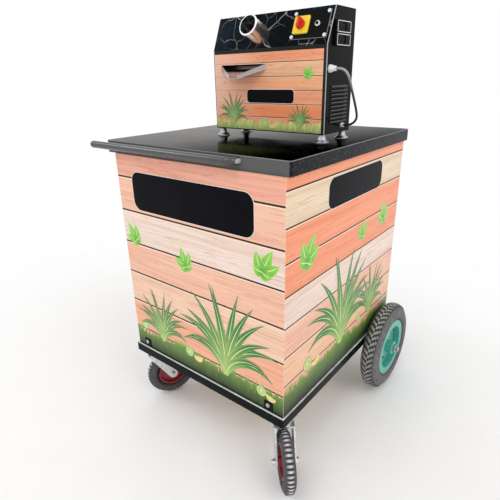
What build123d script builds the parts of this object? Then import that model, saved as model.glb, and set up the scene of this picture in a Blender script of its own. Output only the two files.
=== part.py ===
"""A wheeled cabinet cart with a cane mill on its counter.

Millimetres, +Z up from the floor, +X to the right, the push handle on the -Y side.
The origin lies on the floor under the middle of the base frame.
"""

import math
import os

from build123d import *

os.makedirs("parts", exist_ok=True)

# Counter and cabinet
counter_height = 1052
counter_thickness = 40
counter_overhang_left = 50
counter_overhang_right = 10
counter_overhang_back = 13.5
counter_setback_front = 6.5
counter_corner = 10
counter_arris = 2
cabinet_width = 690
cabinet_depth = 778
panel_thickness = 12
floor_thickness = 12

# Base frame of angle iron, with cleats that hold the front board
rail_height = 235
rail_leg = 35
rail_thickness = 5
rail_gap_side = 1
rail_gap_end = 3
cleat_width = 32
cleat_spread = 580
cleat_rise = 35
cleat_foot = 9
cleat_hole = 9

# Back frame and door
stile_width = 40
plinth_height = 35
door_thickness = 18
door_gap = 3
hinge_radius = 5
hinge_pin_radius = 2.5
hinge_leaf = 30
hinge_thickness = 2
hinge_length = 75
hinge_end_distance = 90
hinge_standoff = 0.3
pull_length = 110
pull_reach = 30
pull_diameter = 9
pull_edge = 45

# Push handle
handle_diameter = 24
handle_reach = 28
handle_left = -441
handle_right = 186
handle_drop = 14
handle_bend = 18
handle_post_diameter = 18
handle_post_x = -345

# Rear wheels
rear_wheel_diameter = 365
rear_tyre_width = 72
rear_tyre_wall = 8
rear_rim_diameter = 232
rear_rim_width = 58
rear_rim_wall = 4
rear_seat_depth = 22
rear_hub_diameter = 54
rear_hub_length = 78
rear_axle_diameter = 20
rear_axle_inset = 100
rear_side_gap = 3
axle_collar_diameter = 34
axle_end = 12
bracket_thickness = 10
bracket_width = 76
bracket_boss = 26
rear_nut_width = 30
rear_nut_height = 9

# Swivel casters
caster_wheel_diameter = 200
caster_tyre_width = 46
caster_rim_diameter = 112
caster_rim_width = 34
caster_hub_diameter = 34
caster_hub_length = 52
caster_axle_diameter = 12
caster_trail = 58
caster_inset = 36
caster_inset_front = 52
caster_turn_left = -26
caster_turn_right = 224
plate_size = 72
plate_corner = 6
plate_thickness = 5
race_diameter = 58
race_height = 8
king_pin_diameter = 16
king_nut_diameter = 26
king_nut_height = 8
fork_thickness = 5
fork_side_gap = 2
fork_crown_gap = 8
fork_crown_thickness = 6
fork_crown_half = 33
fork_boss = 17
caster_nut_width = 19
caster_nut_height = 9

# Mill housing on the counter
mill_width = 426
mill_depth = 158
mill_x = 65
mill_y = -15
mill_front_height = 244
hood_rise = 98
hood_setback = 40
sheet = 2
base_thickness = 3
foot_height = 25
foot_radius = 22
foot_rim = 2.5
foot_flare = 9
foot_neck = 9
foot_inset = 16
louvre_count = 10
louvre_pitch = 11
louvre_length = 100
louvre_slot = 4
louvre_lip = 5
louvre_top = 133
louvre_y = -16

# Feed chute, juice tray and trough
chute_x = 42
chute_along = 36
chute_radius = 29
chute_wall = 2
chute_length = 74
chute_inside = 10
chute_rim = 2.5
trough_x = -25
trough_width = 180
trough_lip_width = 36
trough_reach = 50
trough_fall = 26
trough_slot_height = 16
trough_drop = 58
trough_wall_top = 14
trough_lip_wall = 9
tray_wall = 14
tray_back = 46
outlet_width = 100
outlet_height = 46

# Controls and electrical fittings
control_width = 122
control_height = 80
control_thickness = 2
control_inset = 70
control_along = 57
switch_size = 51
switch_thickness = 5
switch_offset = -28
knob_radius = 13.5
knob_base = 6
knob_grip_width = 10
knob_grip_length = 33
knob_grip_height = 14
button_offset = 25
bezel_radius = 7.5
bezel_height = 5
button_radius = 4.5
button_height = 4
button_travel = 3
socket_width = 90
socket_height = 67
socket_thickness = 8
socket_y = -17
socket_z = 273
socket_round = 14
gland_radius = 12
gland_length = 20
gland_y = -77
gland_z = 181
grommet_radius = 8
grommet_length = 8
grommet_y = 12
grommet_z = 20
cable_diameter = 7

# Rollers and their drive
roller_diameter = 48
roller_length = 104
roller_y = 0
roller_below_top = 71
roller_spread = 35
flute_count = 14
flute_radius = 2
shaft_diameter = 18
bush_wall = 5
bush_proud = 4
roller_end_gap = 6
bearing_plate = 8
bearing_front = 58
bearing_rise = 34
gear_module = 3
gear_teeth = 17
gear_width = 18
gear_gap = 6
gear_backlash = 0.5
pressure_angle = 20
gearbox_width = 80
gearbox_half = 50
gearbox_front = 52
gearbox_back = 42
gearbox_gap = 8
gearbox_corner = 12
worm_offset = 30
motor_diameter = 100
motor_cover = 24
motor_fins = 16
fin_height = 6
fin_width = 4

# Clearances
running = 0.06
press = 0.02
apart = 0.3

# Places that follow from the sizes above
counter_bottom = counter_height - counter_thickness
frame_width = cabinet_width + 2 * (rail_thickness + rail_gap_side)
frame_depth = cabinet_depth + 2 * (rail_thickness + rail_gap_end)
cabinet_bottom = rail_height + rail_thickness
cabinet_half = cabinet_width / 2
cabinet_front = -cabinet_depth / 2
cabinet_back = cabinet_depth / 2
counter_width = cabinet_width + counter_overhang_left + counter_overhang_right
counter_depth = cabinet_depth + counter_overhang_back - counter_setback_front
counter_shift_x = (counter_overhang_right - counter_overhang_left) / 2
counter_shift_y = (counter_overhang_back + counter_setback_front) / 2
counter_front = cabinet_front + counter_setback_front
inner_half = cabinet_half - panel_thickness
rear_axle_y = frame_depth / 2 - rear_axle_inset
rear_axle_z = rear_wheel_diameter / 2
rear_wheel_x = frame_width / 2 + rear_side_gap + rear_tyre_width / 2
caster_x = frame_width / 2 - caster_inset
caster_y = caster_inset_front - frame_depth / 2
caster_radius = caster_wheel_diameter / 2
mill_left = mill_x - mill_width / 2
mill_right = mill_x + mill_width / 2
control_x = mill_right - control_inset
mill_front = mill_y - mill_depth / 2
mill_back = mill_y + mill_depth / 2
mill_floor = counter_height + foot_height
mill_inside = mill_floor + base_thickness
bend_z = mill_floor + mill_front_height
mill_top = bend_z + hood_rise
slope_length = math.hypot(hood_setback, hood_rise)
hood_plane = Plane(
    origin=(0, mill_front, bend_z),
    x_dir=(1, 0, 0),
    z_dir=(0, -hood_rise / slope_length, hood_setback / slope_length),
)
hood_axis = Axis(hood_plane.origin, hood_plane.z_dir)
trough_z = bend_z - trough_drop
gear_distance = gear_module * gear_teeth
roller_z = mill_top - roller_below_top
roller_step_y = gear_distance * math.sin(math.radians(roller_spread))
roller_step_z = gear_distance * math.cos(math.radians(roller_spread))
roller_centres = {
    "top": (roller_y, roller_z),
    "front": (roller_y - roller_step_y, roller_z - roller_step_z),
    "back": (roller_y + roller_step_y, roller_z - roller_step_z),
}
drum_left = chute_x - roller_length / 2
drum_right = chute_x + roller_length / 2
left_plate_x = drum_left - roller_end_gap - bearing_plate
right_plate_x = drum_right + roller_end_gap
gear_x = right_plate_x + bearing_plate + gear_gap
gearbox_x = gear_x + gear_width + gearbox_gap


def block(low, high, mode=Mode.ADD):
    """A rectangular block between two opposite corners."""
    size = [b - a for a, b in zip(low, high)]
    middle = tuple((a + b) / 2 for a, b in zip(low, high))
    with Locations(middle):
        Box(*size, mode=mode)


def keep(piece, name):
    """Label a finished piece and write it as one node."""
    piece.part.label = name
    export_step(piece.part, f"parts/{name}.step")


def placed(piece, place):
    """A copy of a piece that was modelled about its own origin, set in its place."""
    with BuildPart() as copy:
        with Locations(place):
            add(piece.part)
    return copy


# Base frame: four rails of equal angle iron, mitred at the corners, upright leg outside
half_width = frame_width / 2
half_depth = frame_depth / 2
frame_corners = [
    Vector(-half_width, -half_depth),
    Vector(half_width, -half_depth),
    Vector(half_width, half_depth),
    Vector(-half_width, half_depth),
]
for number, name in enumerate(("front_rail", "right_rail", "back_rail", "left_rail")):
    start = frame_corners[number]
    end = frame_corners[(number + 1) % 4]
    along = (end - start).normalized()
    inward = Vector(-along.Y, along.X)
    with BuildPart() as rail:
        for leg_depth, leg_height in ((rail_leg, rail_thickness), (rail_thickness, rail_leg)):
            with BuildSketch(Plane.XY.offset(rail_height)):
                with BuildLine():
                    Polyline(
                        start,
                        end,
                        end + (inward - along) * leg_depth,
                        start + (inward + along) * leg_depth,
                        close=True,
                    )
                make_face()
            extrude(amount=leg_height)
    keep(rail, name)

# Cleats: flat tabs in the gap behind the front rail, each with a screw hole
cleat_bottom = rail_height + cleat_foot
cleat_top = rail_height + rail_leg + cleat_rise
with BuildPart() as cleats:
    with BuildSketch(Plane.XZ.offset(-cabinet_front)):
        with Locations(
            (-cleat_spread / 2, (cleat_bottom + cleat_top) / 2),
            (cleat_spread / 2, (cleat_bottom + cleat_top) / 2),
        ):
            RectangleRounded(cleat_width, cleat_top - cleat_bottom, 3)
        with Locations(
            (-cleat_spread / 2, cleat_top - cleat_hole * 1.4),
            (cleat_spread / 2, cleat_top - cleat_hole * 1.4),
        ):
            Circle(cleat_hole / 2, mode=Mode.SUBTRACT)
    extrude(amount=rail_gap_end)
keep(cleats, "hold_down_cleats")

# Cabinet boards: the front board covers the edges of the two side boards
with BuildPart() as cabinet_floor:
    block(
        (-inner_half, cabinet_front + panel_thickness, cabinet_bottom),
        (inner_half, cabinet_back - door_thickness, cabinet_bottom + floor_thickness),
    )
keep(cabinet_floor, "cabinet_floor")

with BuildPart() as front_panel:
    block(
        (-cabinet_half, cabinet_front, cabinet_bottom),
        (cabinet_half, cabinet_front + panel_thickness, counter_bottom),
    )
keep(front_panel, "cabinet_front_panel")

for side, name in ((-1, "cabinet_left_panel"), (1, "cabinet_right_panel")):
    with BuildPart() as side_panel:
        block(
            (min(side * cabinet_half, side * inner_half), cabinet_front + panel_thickness, cabinet_bottom),
            (max(side * cabinet_half, side * inner_half), cabinet_back, counter_bottom),
        )
    keep(side_panel, name)

# Back frame: two stiles, a plinth that clears the rail, and a head under the counter
door_half = inner_half - stile_width
door_bottom = cabinet_bottom + plinth_height
door_top = counter_bottom - stile_width
frame_inside = cabinet_back - door_thickness
with BuildPart() as back_frame:
    for side in (-1, 1):
        block(
            (min(side * door_half, side * inner_half), frame_inside, cabinet_bottom),
            (max(side * door_half, side * inner_half), cabinet_back, counter_bottom),
        )
    block((-door_half, frame_inside, cabinet_bottom), (door_half, cabinet_back, door_bottom))
    block((-door_half, frame_inside, door_top), (door_half, cabinet_back, counter_bottom))
keep(back_frame, "cabinet_back_frame")

# Back door: a flush board hung on two butt hinges
with BuildPart() as back_door:
    block(
        (door_gap - door_half, frame_inside, door_bottom + door_gap),
        (door_half - door_gap, cabinet_back, door_top - door_gap),
    )
    fillet(back_door.edges().filter_by(Axis.Z), radius=1.5)
keep(back_door, "back_door")

# Hinges: the fixed leaf carries two knuckles and the pin, the door leaf the middle knuckle
hinge_x = door_gap / 2 - door_half
hinge_y = cabinet_back + hinge_standoff + hinge_radius
knuckle = hinge_length / 3
hinge_levels = (door_bottom + hinge_end_distance, door_top - hinge_end_distance)


def hinge_half(level, side, knuckle_spans):
    """One leaf lying on the back face, with the knuckles that belong to it."""
    leaf_near = hinge_x + side * (hinge_radius + apart)
    leaf_far = hinge_x + side * hinge_leaf
    low = level - hinge_length / 2
    block(
        (min(leaf_near, leaf_far), cabinet_back, low),
        (max(leaf_near, leaf_far), cabinet_back + hinge_thickness, low + hinge_length),
    )
    for first, last in knuckle_spans:
        block(
            (min(hinge_x, leaf_near), cabinet_back + hinge_standoff, low + first),
            (max(hinge_x, leaf_near), cabinet_back + hinge_thickness, low + last),
        )
        with Locations((hinge_x, hinge_y, low + (first + last) / 2)):
            Cylinder(hinge_radius, last - first)


with BuildPart() as door_hinges:
    for level in hinge_levels:
        hinge_half(level, -1, ((0, knuckle - apart), (2 * knuckle + apart, hinge_length)))
        with Locations((hinge_x, hinge_y, level)):
            Cylinder(hinge_pin_radius, hinge_length)
keep(door_hinges, "door_hinges")

with BuildPart() as door_leaves:
    for level in hinge_levels:
        hinge_half(level, 1, ((knuckle, 2 * knuckle),))
        with Locations((hinge_x, hinge_y, level)):
            Cylinder(hinge_pin_radius + running, hinge_length, mode=Mode.SUBTRACT)
keep(door_leaves, "door_hinge_leaves")

# Door pull: a bent round bar
pull_x = door_half - pull_edge
pull_z = (door_bottom + door_top) / 2
with BuildPart() as door_pull:
    with BuildLine() as pull_path:
        FilletPolyline(
            (pull_x, cabinet_back, pull_z - pull_length / 2),
            (pull_x, cabinet_back + pull_reach, pull_z - pull_length / 2),
            (pull_x, cabinet_back + pull_reach, pull_z + pull_length / 2),
            (pull_x, cabinet_back, pull_z + pull_length / 2),
            radius=pull_diameter * 1.2,
        )
    with BuildSketch(Plane(origin=pull_path.line @ 0, z_dir=pull_path.line % 0)):
        Circle(pull_diameter / 2)
    sweep()
keep(door_pull, "door_pull")

# Countertop: a thick board with eased edges and slightly rounded corners
with BuildPart() as countertop:
    with BuildSketch(Plane.XY.offset(counter_bottom)):
        with Locations((counter_shift_x, counter_shift_y)):
            RectangleRounded(counter_width, counter_depth, counter_corner)
    extrude(amount=counter_thickness)
    chamfer(countertop.faces().sort_by(Axis.Z)[-1].edges(), length=counter_arris)
keep(countertop, "countertop")

# Push handle: a tube that turns back into the counter at its right end, with one post
handle_y = counter_front - handle_reach
handle_z = counter_height - handle_drop
with BuildPart() as push_handle:
    with BuildLine() as handle_path:
        FilletPolyline(
            (handle_right, counter_front, handle_z),
            (handle_right, handle_y, handle_z),
            (handle_left + handle_diameter / 2, handle_y, handle_z),
            radius=handle_bend,
        )
    with BuildSketch(Plane(origin=handle_path.line @ 0, z_dir=handle_path.line % 0)):
        Circle(handle_diameter / 2)
    sweep()
    with Locations((handle_left + handle_diameter / 2, handle_y, handle_z)):
        Sphere(handle_diameter / 2)
    with BuildSketch(Plane.XZ.offset(-counter_front)):
        with Locations((handle_post_x, handle_z)):
            Circle(handle_post_diameter / 2)
    extrude(amount=handle_reach)
keep(push_handle, "push_handle")

# Rear axle: one plain bar with a collar inside each wheel
hub_inner = rear_wheel_x - rear_hub_length / 2
hub_outer = rear_wheel_x + rear_hub_length / 2
bracket_x = frame_width / 2 - rail_leg / 2
nut_outer = hub_outer + apart + rear_nut_height
with BuildPart() as rear_axle:
    with Locations(Location((0, rear_axle_y, rear_axle_z), (0, 90, 0))):
        Cylinder(rear_axle_diameter / 2, 2 * (nut_outer + axle_end))
        for side in (-1, 1):
            collar_start = bracket_x + bracket_thickness / 2
            collar_length = hub_inner - apart - collar_start
            with Locations((0, 0, side * (collar_start + collar_length / 2))):
                Cylinder(axle_collar_diameter / 2, collar_length)
keep(rear_axle, "rear_axle")

# Axle brackets: flat drop plates welded under the side rails
with BuildPart() as axle_brackets:
    for side in (-1, 1):
        with BuildSketch(Plane.YZ.offset(side * bracket_x - bracket_thickness / 2)):
            with Locations((rear_axle_y, rear_axle_z)):
                Circle(bracket_boss)
            with Locations((rear_axle_y, rail_height - rail_thickness / 2)):
                Rectangle(bracket_width, rail_thickness)
            make_hull()
            with Locations((rear_axle_y, rear_axle_z)):
                Circle(rear_axle_diameter / 2 + press, mode=Mode.SUBTRACT)
        extrude(amount=bracket_thickness)
keep(axle_brackets, "axle_brackets")

with BuildPart() as axle_nuts:
    for side in (-1, 1):
        nut_start = side * (hub_outer + apart) - (rear_nut_height if side < 0 else 0)
        with BuildSketch(Plane.YZ.offset(nut_start)):
            with Locations((rear_axle_y, rear_axle_z)):
                RegularPolygon(rear_nut_width / 2, 6, major_radius=False)
                Circle(rear_axle_diameter / 2 + press, mode=Mode.SUBTRACT)
        extrude(amount=rear_nut_height)
keep(axle_nuts, "axle_nuts")

# Rear rim: hub, dished disc and a channel for the tyre, turned about the axle line
rim_outer = rear_rim_diameter / 2
seat_radius = rim_outer - rear_seat_depth
rim_half = rear_rim_width / 2
disc_half = rear_rim_wall
disc_dish = rear_rim_wall * 2
with BuildPart() as rear_rim:
    with BuildSketch() as rim_profile:
        with BuildLine():
            Polyline(
                (-rear_hub_length / 2, rear_axle_diameter / 2 + running),
                (rear_hub_length / 2, rear_axle_diameter / 2 + running),
                (rear_hub_length / 2, rear_hub_diameter / 2),
                (disc_dish + disc_half, rear_hub_diameter / 2),
                (disc_half, seat_radius - rear_rim_wall),
                (rim_half, seat_radius - rear_rim_wall),
                (rim_half, rim_outer),
                (rim_half - rear_rim_wall, rim_outer),
                (rim_half - rear_rim_wall, seat_radius),
                (rear_rim_wall - rim_half, seat_radius),
                (rear_rim_wall - rim_half, rim_outer),
                (-rim_half, rim_outer),
                (-rim_half, seat_radius - rear_rim_wall),
                (-disc_half, seat_radius - rear_rim_wall),
                (disc_dish - disc_half, rear_hub_diameter / 2),
                (-rear_hub_length / 2, rear_hub_diameter / 2),
                close=True,
            )
        make_face()
    revolve(axis=Axis.X)

# Rear tyre: an open casing whose beads sit inside the rim flanges
bead_half = rim_half - rear_rim_wall
tyre_half = rear_tyre_width / 2
tyre_outer = rear_wheel_diameter / 2
bulge_radius = (tyre_outer + rim_outer) / 2
shoulder_half = tyre_half * 0.72
shoulder_radius = tyre_outer - tyre_half * 0.3
cavity_half = shoulder_half - rear_tyre_wall * 0.75
cavity_radius = tyre_outer - rear_tyre_wall * 1.6
with BuildPart() as rear_tyre:
    with BuildSketch():
        with BuildLine():
            for side in (-1, 1):
                Line((side * bead_half, seat_radius), (side * bead_half, rim_outer))
                ThreePointArc(
                    (side * bead_half, rim_outer),
                    (side * tyre_half, bulge_radius),
                    (side * shoulder_half, shoulder_radius),
                )
            ThreePointArc(
                (-shoulder_half, shoulder_radius),
                (0, tyre_outer),
                (shoulder_half, shoulder_radius),
            )
            Line((-bead_half, seat_radius), (bead_half, seat_radius))
        make_face()
        with BuildLine():
            Polyline(
                (rear_tyre_wall - bead_half, seat_radius),
                (rear_tyre_wall - bead_half, rim_outer),
                (rear_tyre_wall - tyre_half, bulge_radius),
                (-cavity_half, cavity_radius),
                (cavity_half, cavity_radius),
                (tyre_half - rear_tyre_wall, bulge_radius),
                (bead_half - rear_tyre_wall, rim_outer),
                (bead_half - rear_tyre_wall, seat_radius),
                close=True,
            )
        make_face(mode=Mode.SUBTRACT)
    revolve(axis=Axis.X)

for side, name in ((-1, "left"), (1, "right")):
    wheel_place = Location((side * rear_wheel_x, rear_axle_y, rear_axle_z), (0, 0, 90 - side * 90))
    keep(placed(rear_rim, wheel_place), f"rear_rim_{name}")
    keep(placed(rear_tyre, wheel_place), f"rear_tyre_{name}")

# Caster top plates: a square plate, the upper race and the king pin with its nut
plate_bottom = rail_height - plate_thickness
race_bottom = plate_bottom - race_height
crown_bottom = caster_wheel_diameter + fork_crown_gap
crown_top = crown_bottom + fork_crown_thickness
with BuildPart() as caster_plates:
    for side in (-1, 1):
        with BuildSketch(Plane.XY.offset(plate_bottom)):
            with Locations((side * caster_x, caster_y)):
                RectangleRounded(plate_size, plate_size, plate_corner)
        extrude(amount=plate_thickness)
        with BuildSketch(Plane.XY.offset(race_bottom)):
            with Locations((side * caster_x, caster_y)):
                Circle(race_diameter / 2)
        extrude(amount=race_height)
        with BuildSketch(Plane.XY.offset(crown_bottom - apart)):
            with Locations((side * caster_x, caster_y)):
                Circle(king_pin_diameter / 2)
        extrude(amount=race_bottom - crown_bottom + apart)
        with BuildSketch(Plane.XY.offset(crown_bottom - apart - king_nut_height)):
            with Locations((side * caster_x, caster_y)):
                RegularPolygon(king_nut_diameter / 2, 6)
        extrude(amount=king_nut_height)
keep(caster_plates, "caster_plates")

# Caster fork: crown with the lower race, and two legs that carry the axle behind the king pin
leg_inner = caster_hub_length / 2 + fork_side_gap
leg_outer = leg_inner + fork_thickness
with BuildPart() as caster_fork:
    with BuildSketch(Plane.XY.offset(crown_bottom)):
        Rectangle(2 * leg_outer, 2 * fork_crown_half)
    extrude(amount=fork_crown_thickness)
    with BuildSketch(Plane.XY.offset(crown_top)):
        Circle(race_diameter / 2)
    extrude(amount=race_bottom - apart - crown_top)
    for leg_start in (-leg_outer, leg_inner):
        with BuildSketch(Plane.YZ.offset(leg_start)):
            with Locations((caster_trail, caster_radius)):
                Circle(fork_boss)
            with Locations((0, crown_bottom + fork_crown_thickness / 2)):
                Rectangle(2 * fork_crown_half, fork_crown_thickness)
            make_hull()
            with Locations((caster_trail, caster_radius)):
                Circle(caster_axle_diameter / 2 + press, mode=Mode.SUBTRACT)
        extrude(amount=fork_thickness)
    with BuildSketch(Plane.XY.offset(crown_bottom)):
        Circle(king_pin_diameter / 2 + running)
    extrude(amount=race_bottom - crown_bottom, mode=Mode.SUBTRACT)

# Caster axle: a hexagon bolt across the fork, with its nut
bolt_end = leg_outer + caster_nut_height + 4
with BuildPart() as caster_axle:
    with BuildSketch(Plane.YZ.offset(-leg_outer)):
        Circle(caster_axle_diameter / 2)
    extrude(amount=leg_outer + bolt_end)
    with BuildSketch(Plane.YZ.offset(-leg_outer - caster_nut_height)):
        RegularPolygon(caster_nut_width / 2, 6, major_radius=False)
    extrude(amount=caster_nut_height)
with BuildPart() as caster_nut:
    with BuildSketch(Plane.YZ.offset(leg_outer)):
        RegularPolygon(caster_nut_width / 2, 6, major_radius=False)
        Circle(caster_axle_diameter / 2 + press, mode=Mode.SUBTRACT)
    extrude(amount=caster_nut_height)

# Caster wheel: pressed rim with a hub tube, and a solid tyre with a rounded crown
caster_rim_outer = caster_rim_diameter / 2
caster_rim_half = caster_rim_width / 2
caster_disc = 3
caster_band = 5
with BuildPart() as caster_rim:
    with BuildSketch():
        with BuildLine():
            Polyline(
                (-caster_hub_length / 2, caster_axle_diameter / 2 + running),
                (caster_hub_length / 2, caster_axle_diameter / 2 + running),
                (caster_hub_length / 2, caster_hub_diameter / 2),
                (caster_disc, caster_hub_diameter / 2),
                (caster_disc, caster_rim_outer - caster_band),
                (caster_rim_half, caster_rim_outer - caster_band),
                (caster_rim_half, caster_rim_outer),
                (-caster_rim_half, caster_rim_outer),
                (-caster_rim_half, caster_rim_outer - caster_band),
                (-caster_disc, caster_rim_outer - caster_band),
                (-caster_disc, caster_hub_diameter / 2),
                (-caster_hub_length / 2, caster_hub_diameter / 2),
                close=True,
            )
        make_face()
    revolve(axis=Axis.X)

caster_tyre_half = caster_tyre_width / 2
caster_wall_radius = (caster_rim_outer + caster_radius) / 2
caster_shoulder_half = caster_tyre_half * 0.7
caster_shoulder_radius = caster_radius - caster_tyre_half * 0.35
with BuildPart() as caster_tyre:
    with BuildSketch():
        with BuildLine():
            for side in (-1, 1):
                Polyline(
                    (0, caster_rim_outer),
                    (side * caster_rim_half, caster_rim_outer),
                    (side * caster_tyre_half, caster_wall_radius),
                    (side * caster_shoulder_half, caster_shoulder_radius),
                )
            ThreePointArc(
                (-caster_shoulder_half, caster_shoulder_radius),
                (0, caster_radius),
                (caster_shoulder_half, caster_shoulder_radius),
            )
        make_face()
    revolve(axis=Axis.X)

for side, turn, name in ((-1, caster_turn_left, "left"), (1, caster_turn_right, "right")):
    swivel_place = Location((side * caster_x, caster_y, 0), (0, 0, turn))
    wheel_place = swivel_place * Location((0, caster_trail, caster_radius))
    with BuildPart() as bolt_and_nut:
        with Locations(wheel_place):
            add(caster_axle.part)
            add(caster_nut.part)
    keep(placed(caster_fork, swivel_place), f"caster_fork_{name}")
    keep(bolt_and_nut, f"caster_axle_{name}")
    keep(placed(caster_rim, wheel_place), f"caster_rim_{name}")
    keep(placed(caster_tyre, wheel_place), f"caster_tyre_{name}")

# Mill base plate and its levelling feet
inner_left = mill_left + sheet
inner_right = mill_right - sheet
with BuildPart() as mill_base:
    block((inner_left, mill_front, mill_floor), (inner_right, mill_back, mill_inside))
keep(mill_base, "machine_base")

with BuildPart() as foot:
    with BuildSketch(Plane.XZ):
        with BuildLine():
            Polyline(
                (0, 0),
                (foot_radius, 0),
                (foot_radius, foot_rim),
                (foot_neck + (foot_radius - foot_neck) * 0.35, foot_flare),
                (foot_neck, foot_height),
                (0, foot_height),
                close=True,
            )
        make_face()
    revolve(axis=Axis.Z)
with BuildPart() as mill_feet:
    with Locations((mill_x, mill_y, counter_height)):
        with GridLocations(mill_width - 2 * foot_inset, mill_depth - 2 * foot_inset, 2, 2):
            add(foot.part)
keep(mill_feet, "machine_feet")

# Mill side plates: both follow the sloped hood, and the right one is louvred
side_outline = [
    (mill_front, mill_floor),
    (mill_front, bend_z),
    (mill_front + hood_setback, mill_top),
    (mill_back, mill_top),
    (mill_back, mill_floor),
]
with BuildPart() as left_side:
    with BuildSketch(Plane.YZ.offset(mill_left)):
        with BuildLine():
            Polyline(*side_outline, close=True)
        make_face()
    extrude(amount=sheet)
keep(left_side, "machine_left_side")

louvre_levels = [
    mill_floor + louvre_top - louvre_pitch * number for number in range(louvre_count)
]
with BuildPart() as right_side:
    with BuildSketch(Plane.YZ.offset(inner_right)):
        with BuildLine():
            Polyline(*side_outline, close=True)
        make_face()
        with Locations(*[(louvre_y, level) for level in louvre_levels]):
            Rectangle(louvre_length, louvre_slot, mode=Mode.SUBTRACT)
    extrude(amount=sheet)
    with BuildSketch(Plane.XZ.offset(-louvre_y)):
        for level in louvre_levels:
            with BuildLine():
                Polyline(
                    (mill_right, level + louvre_slot / 2 + sheet),
                    (mill_right, level + louvre_slot / 2),
                    (mill_right + louvre_lip - sheet / 2, level - louvre_slot / 2),
                    (mill_right + louvre_lip, level - louvre_slot / 2),
                    close=True,
                )
            make_face()
    extrude(amount=louvre_length / 2, both=True)
keep(right_side, "machine_right_side")

# Mill front panel with the slot for the juice tray
with BuildPart() as mill_front_panel:
    with BuildSketch(Plane.XZ.offset(-mill_front - sheet)):
        with Locations((mill_x, (mill_inside + bend_z) / 2)):
            Rectangle(mill_width - 2 * sheet, bend_z - mill_inside)
        with Locations((trough_x, trough_z - sheet + trough_slot_height / 2)):
            Rectangle(trough_width, trough_slot_height, mode=Mode.SUBTRACT)
    extrude(amount=sheet)
keep(mill_front_panel, "machine_front_panel")

# Hood: one bent sheet, sloped front and flat top, with the hole for the chute
inner_bend_y = mill_front + sheet * slope_length / hood_rise
inner_top_y = inner_bend_y + (hood_rise - sheet) * hood_setback / hood_rise
with BuildPart() as hood:
    with BuildSketch(Plane.YZ.offset(inner_left)):
        with BuildLine():
            Polyline(
                (mill_front, bend_z),
                (mill_front + hood_setback, mill_top),
                (mill_back, mill_top),
                (mill_back, mill_top - sheet),
                (inner_top_y, mill_top - sheet),
                (inner_bend_y, bend_z),
                close=True,
            )
        make_face()
    extrude(amount=mill_width - 2 * sheet)
    with BuildSketch(hood_plane):
        with Locations((chute_x, chute_along)):
            Circle(chute_radius + press)
    extrude(amount=-2 * sheet, mode=Mode.SUBTRACT)
keep(hood, "machine_hood")

# Mill back panel with the outlet for the crushed cane
outlet_z = roller_z - roller_step_z
with BuildPart() as mill_back_panel:
    with BuildSketch(Plane.XZ.offset(-mill_back)):
        with Locations((mill_x, (mill_inside + mill_top - sheet) / 2)):
            Rectangle(mill_width - 2 * sheet, mill_top - sheet - mill_inside)
        with Locations((chute_x, outlet_z)):
            Rectangle(outlet_width, outlet_height, mode=Mode.SUBTRACT)
    extrude(amount=sheet)
keep(mill_back_panel, "machine_back_panel")

# Feed chute: a tube square to the sloped hood, with a rolled rim at its mouth
with BuildPart() as feed_chute:
    with BuildSketch(hood_plane.offset(-chute_inside)):
        with Locations((chute_x, chute_along)):
            Circle(chute_radius)
    extrude(amount=chute_inside + chute_length)
    with BuildSketch(hood_plane.offset(chute_length - 2 * chute_rim)):
        with Locations((chute_x, chute_along)):
            Circle(chute_radius + chute_rim)
    extrude(amount=2 * chute_rim)
    rim_edges = feed_chute.edges().filter_by(GeomType.CIRCLE).sort_by(SortBy.RADIUS)[-2:]
    chamfer(rim_edges, length=chute_rim * 0.8)
    with BuildSketch(hood_plane.offset(-chute_inside)):
        with Locations((chute_x, chute_along)):
            Circle(chute_radius - chute_wall)
    extrude(amount=chute_inside + chute_length, mode=Mode.SUBTRACT)
keep(feed_chute, "feed_chute")

# Juice tray: a folded pan under the rollers, open towards the slot
tray_left = trough_x - trough_width / 2 + apart
tray_right = right_plate_x - sheet
tray_floor = trough_z - sheet
with BuildPart() as juice_tray:
    block(
        (tray_left, mill_front, tray_floor),
        (trough_x + trough_width / 2 - apart, mill_front + sheet, trough_z),
    )
    block(
        (tray_left, mill_front + sheet, tray_floor),
        (tray_right, roller_y + tray_back, trough_z + tray_wall),
    )
    block(
        (tray_left + sheet, mill_front + sheet, trough_z),
        (tray_right - sheet, roller_y + tray_back - sheet, trough_z + tray_wall),
        mode=Mode.SUBTRACT,
    )
keep(juice_tray, "juice_tray")

# Juice trough: a folded funnel outside the slot, falling to a narrow lip
trough_front = mill_front - trough_reach
trough_half = trough_width / 2 + sheet
lip_half = trough_lip_width / 2
lip_z = trough_z - trough_fall
trough_outline = [
    (trough_x - trough_half, mill_front),
    (trough_x + trough_half, mill_front),
    (trough_x + lip_half, trough_front),
    (trough_x - lip_half, trough_front),
]
channel_outline = [
    (trough_x - trough_half + sheet, mill_front),
    (trough_x + trough_half - sheet, mill_front),
    (trough_x + lip_half - sheet, trough_front),
    (trough_x - lip_half + sheet, trough_front),
]
with BuildPart() as juice_trough:
    with BuildSketch(Plane.YZ.offset(trough_x)):
        with BuildLine():
            Polyline(
                (mill_front, trough_z - sheet),
                (mill_front, trough_z + trough_wall_top),
                (trough_front, lip_z + trough_lip_wall),
                (trough_front, lip_z - sheet),
                close=True,
            )
        make_face()
    extrude(amount=trough_half, both=True)
    with BuildSketch(Plane.XY.offset(lip_z - sheet)):
        with BuildLine():
            Polyline(*trough_outline, close=True)
        make_face()
    extrude(amount=trough_fall + trough_wall_top + 2 * sheet, mode=Mode.INTERSECT)
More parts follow.
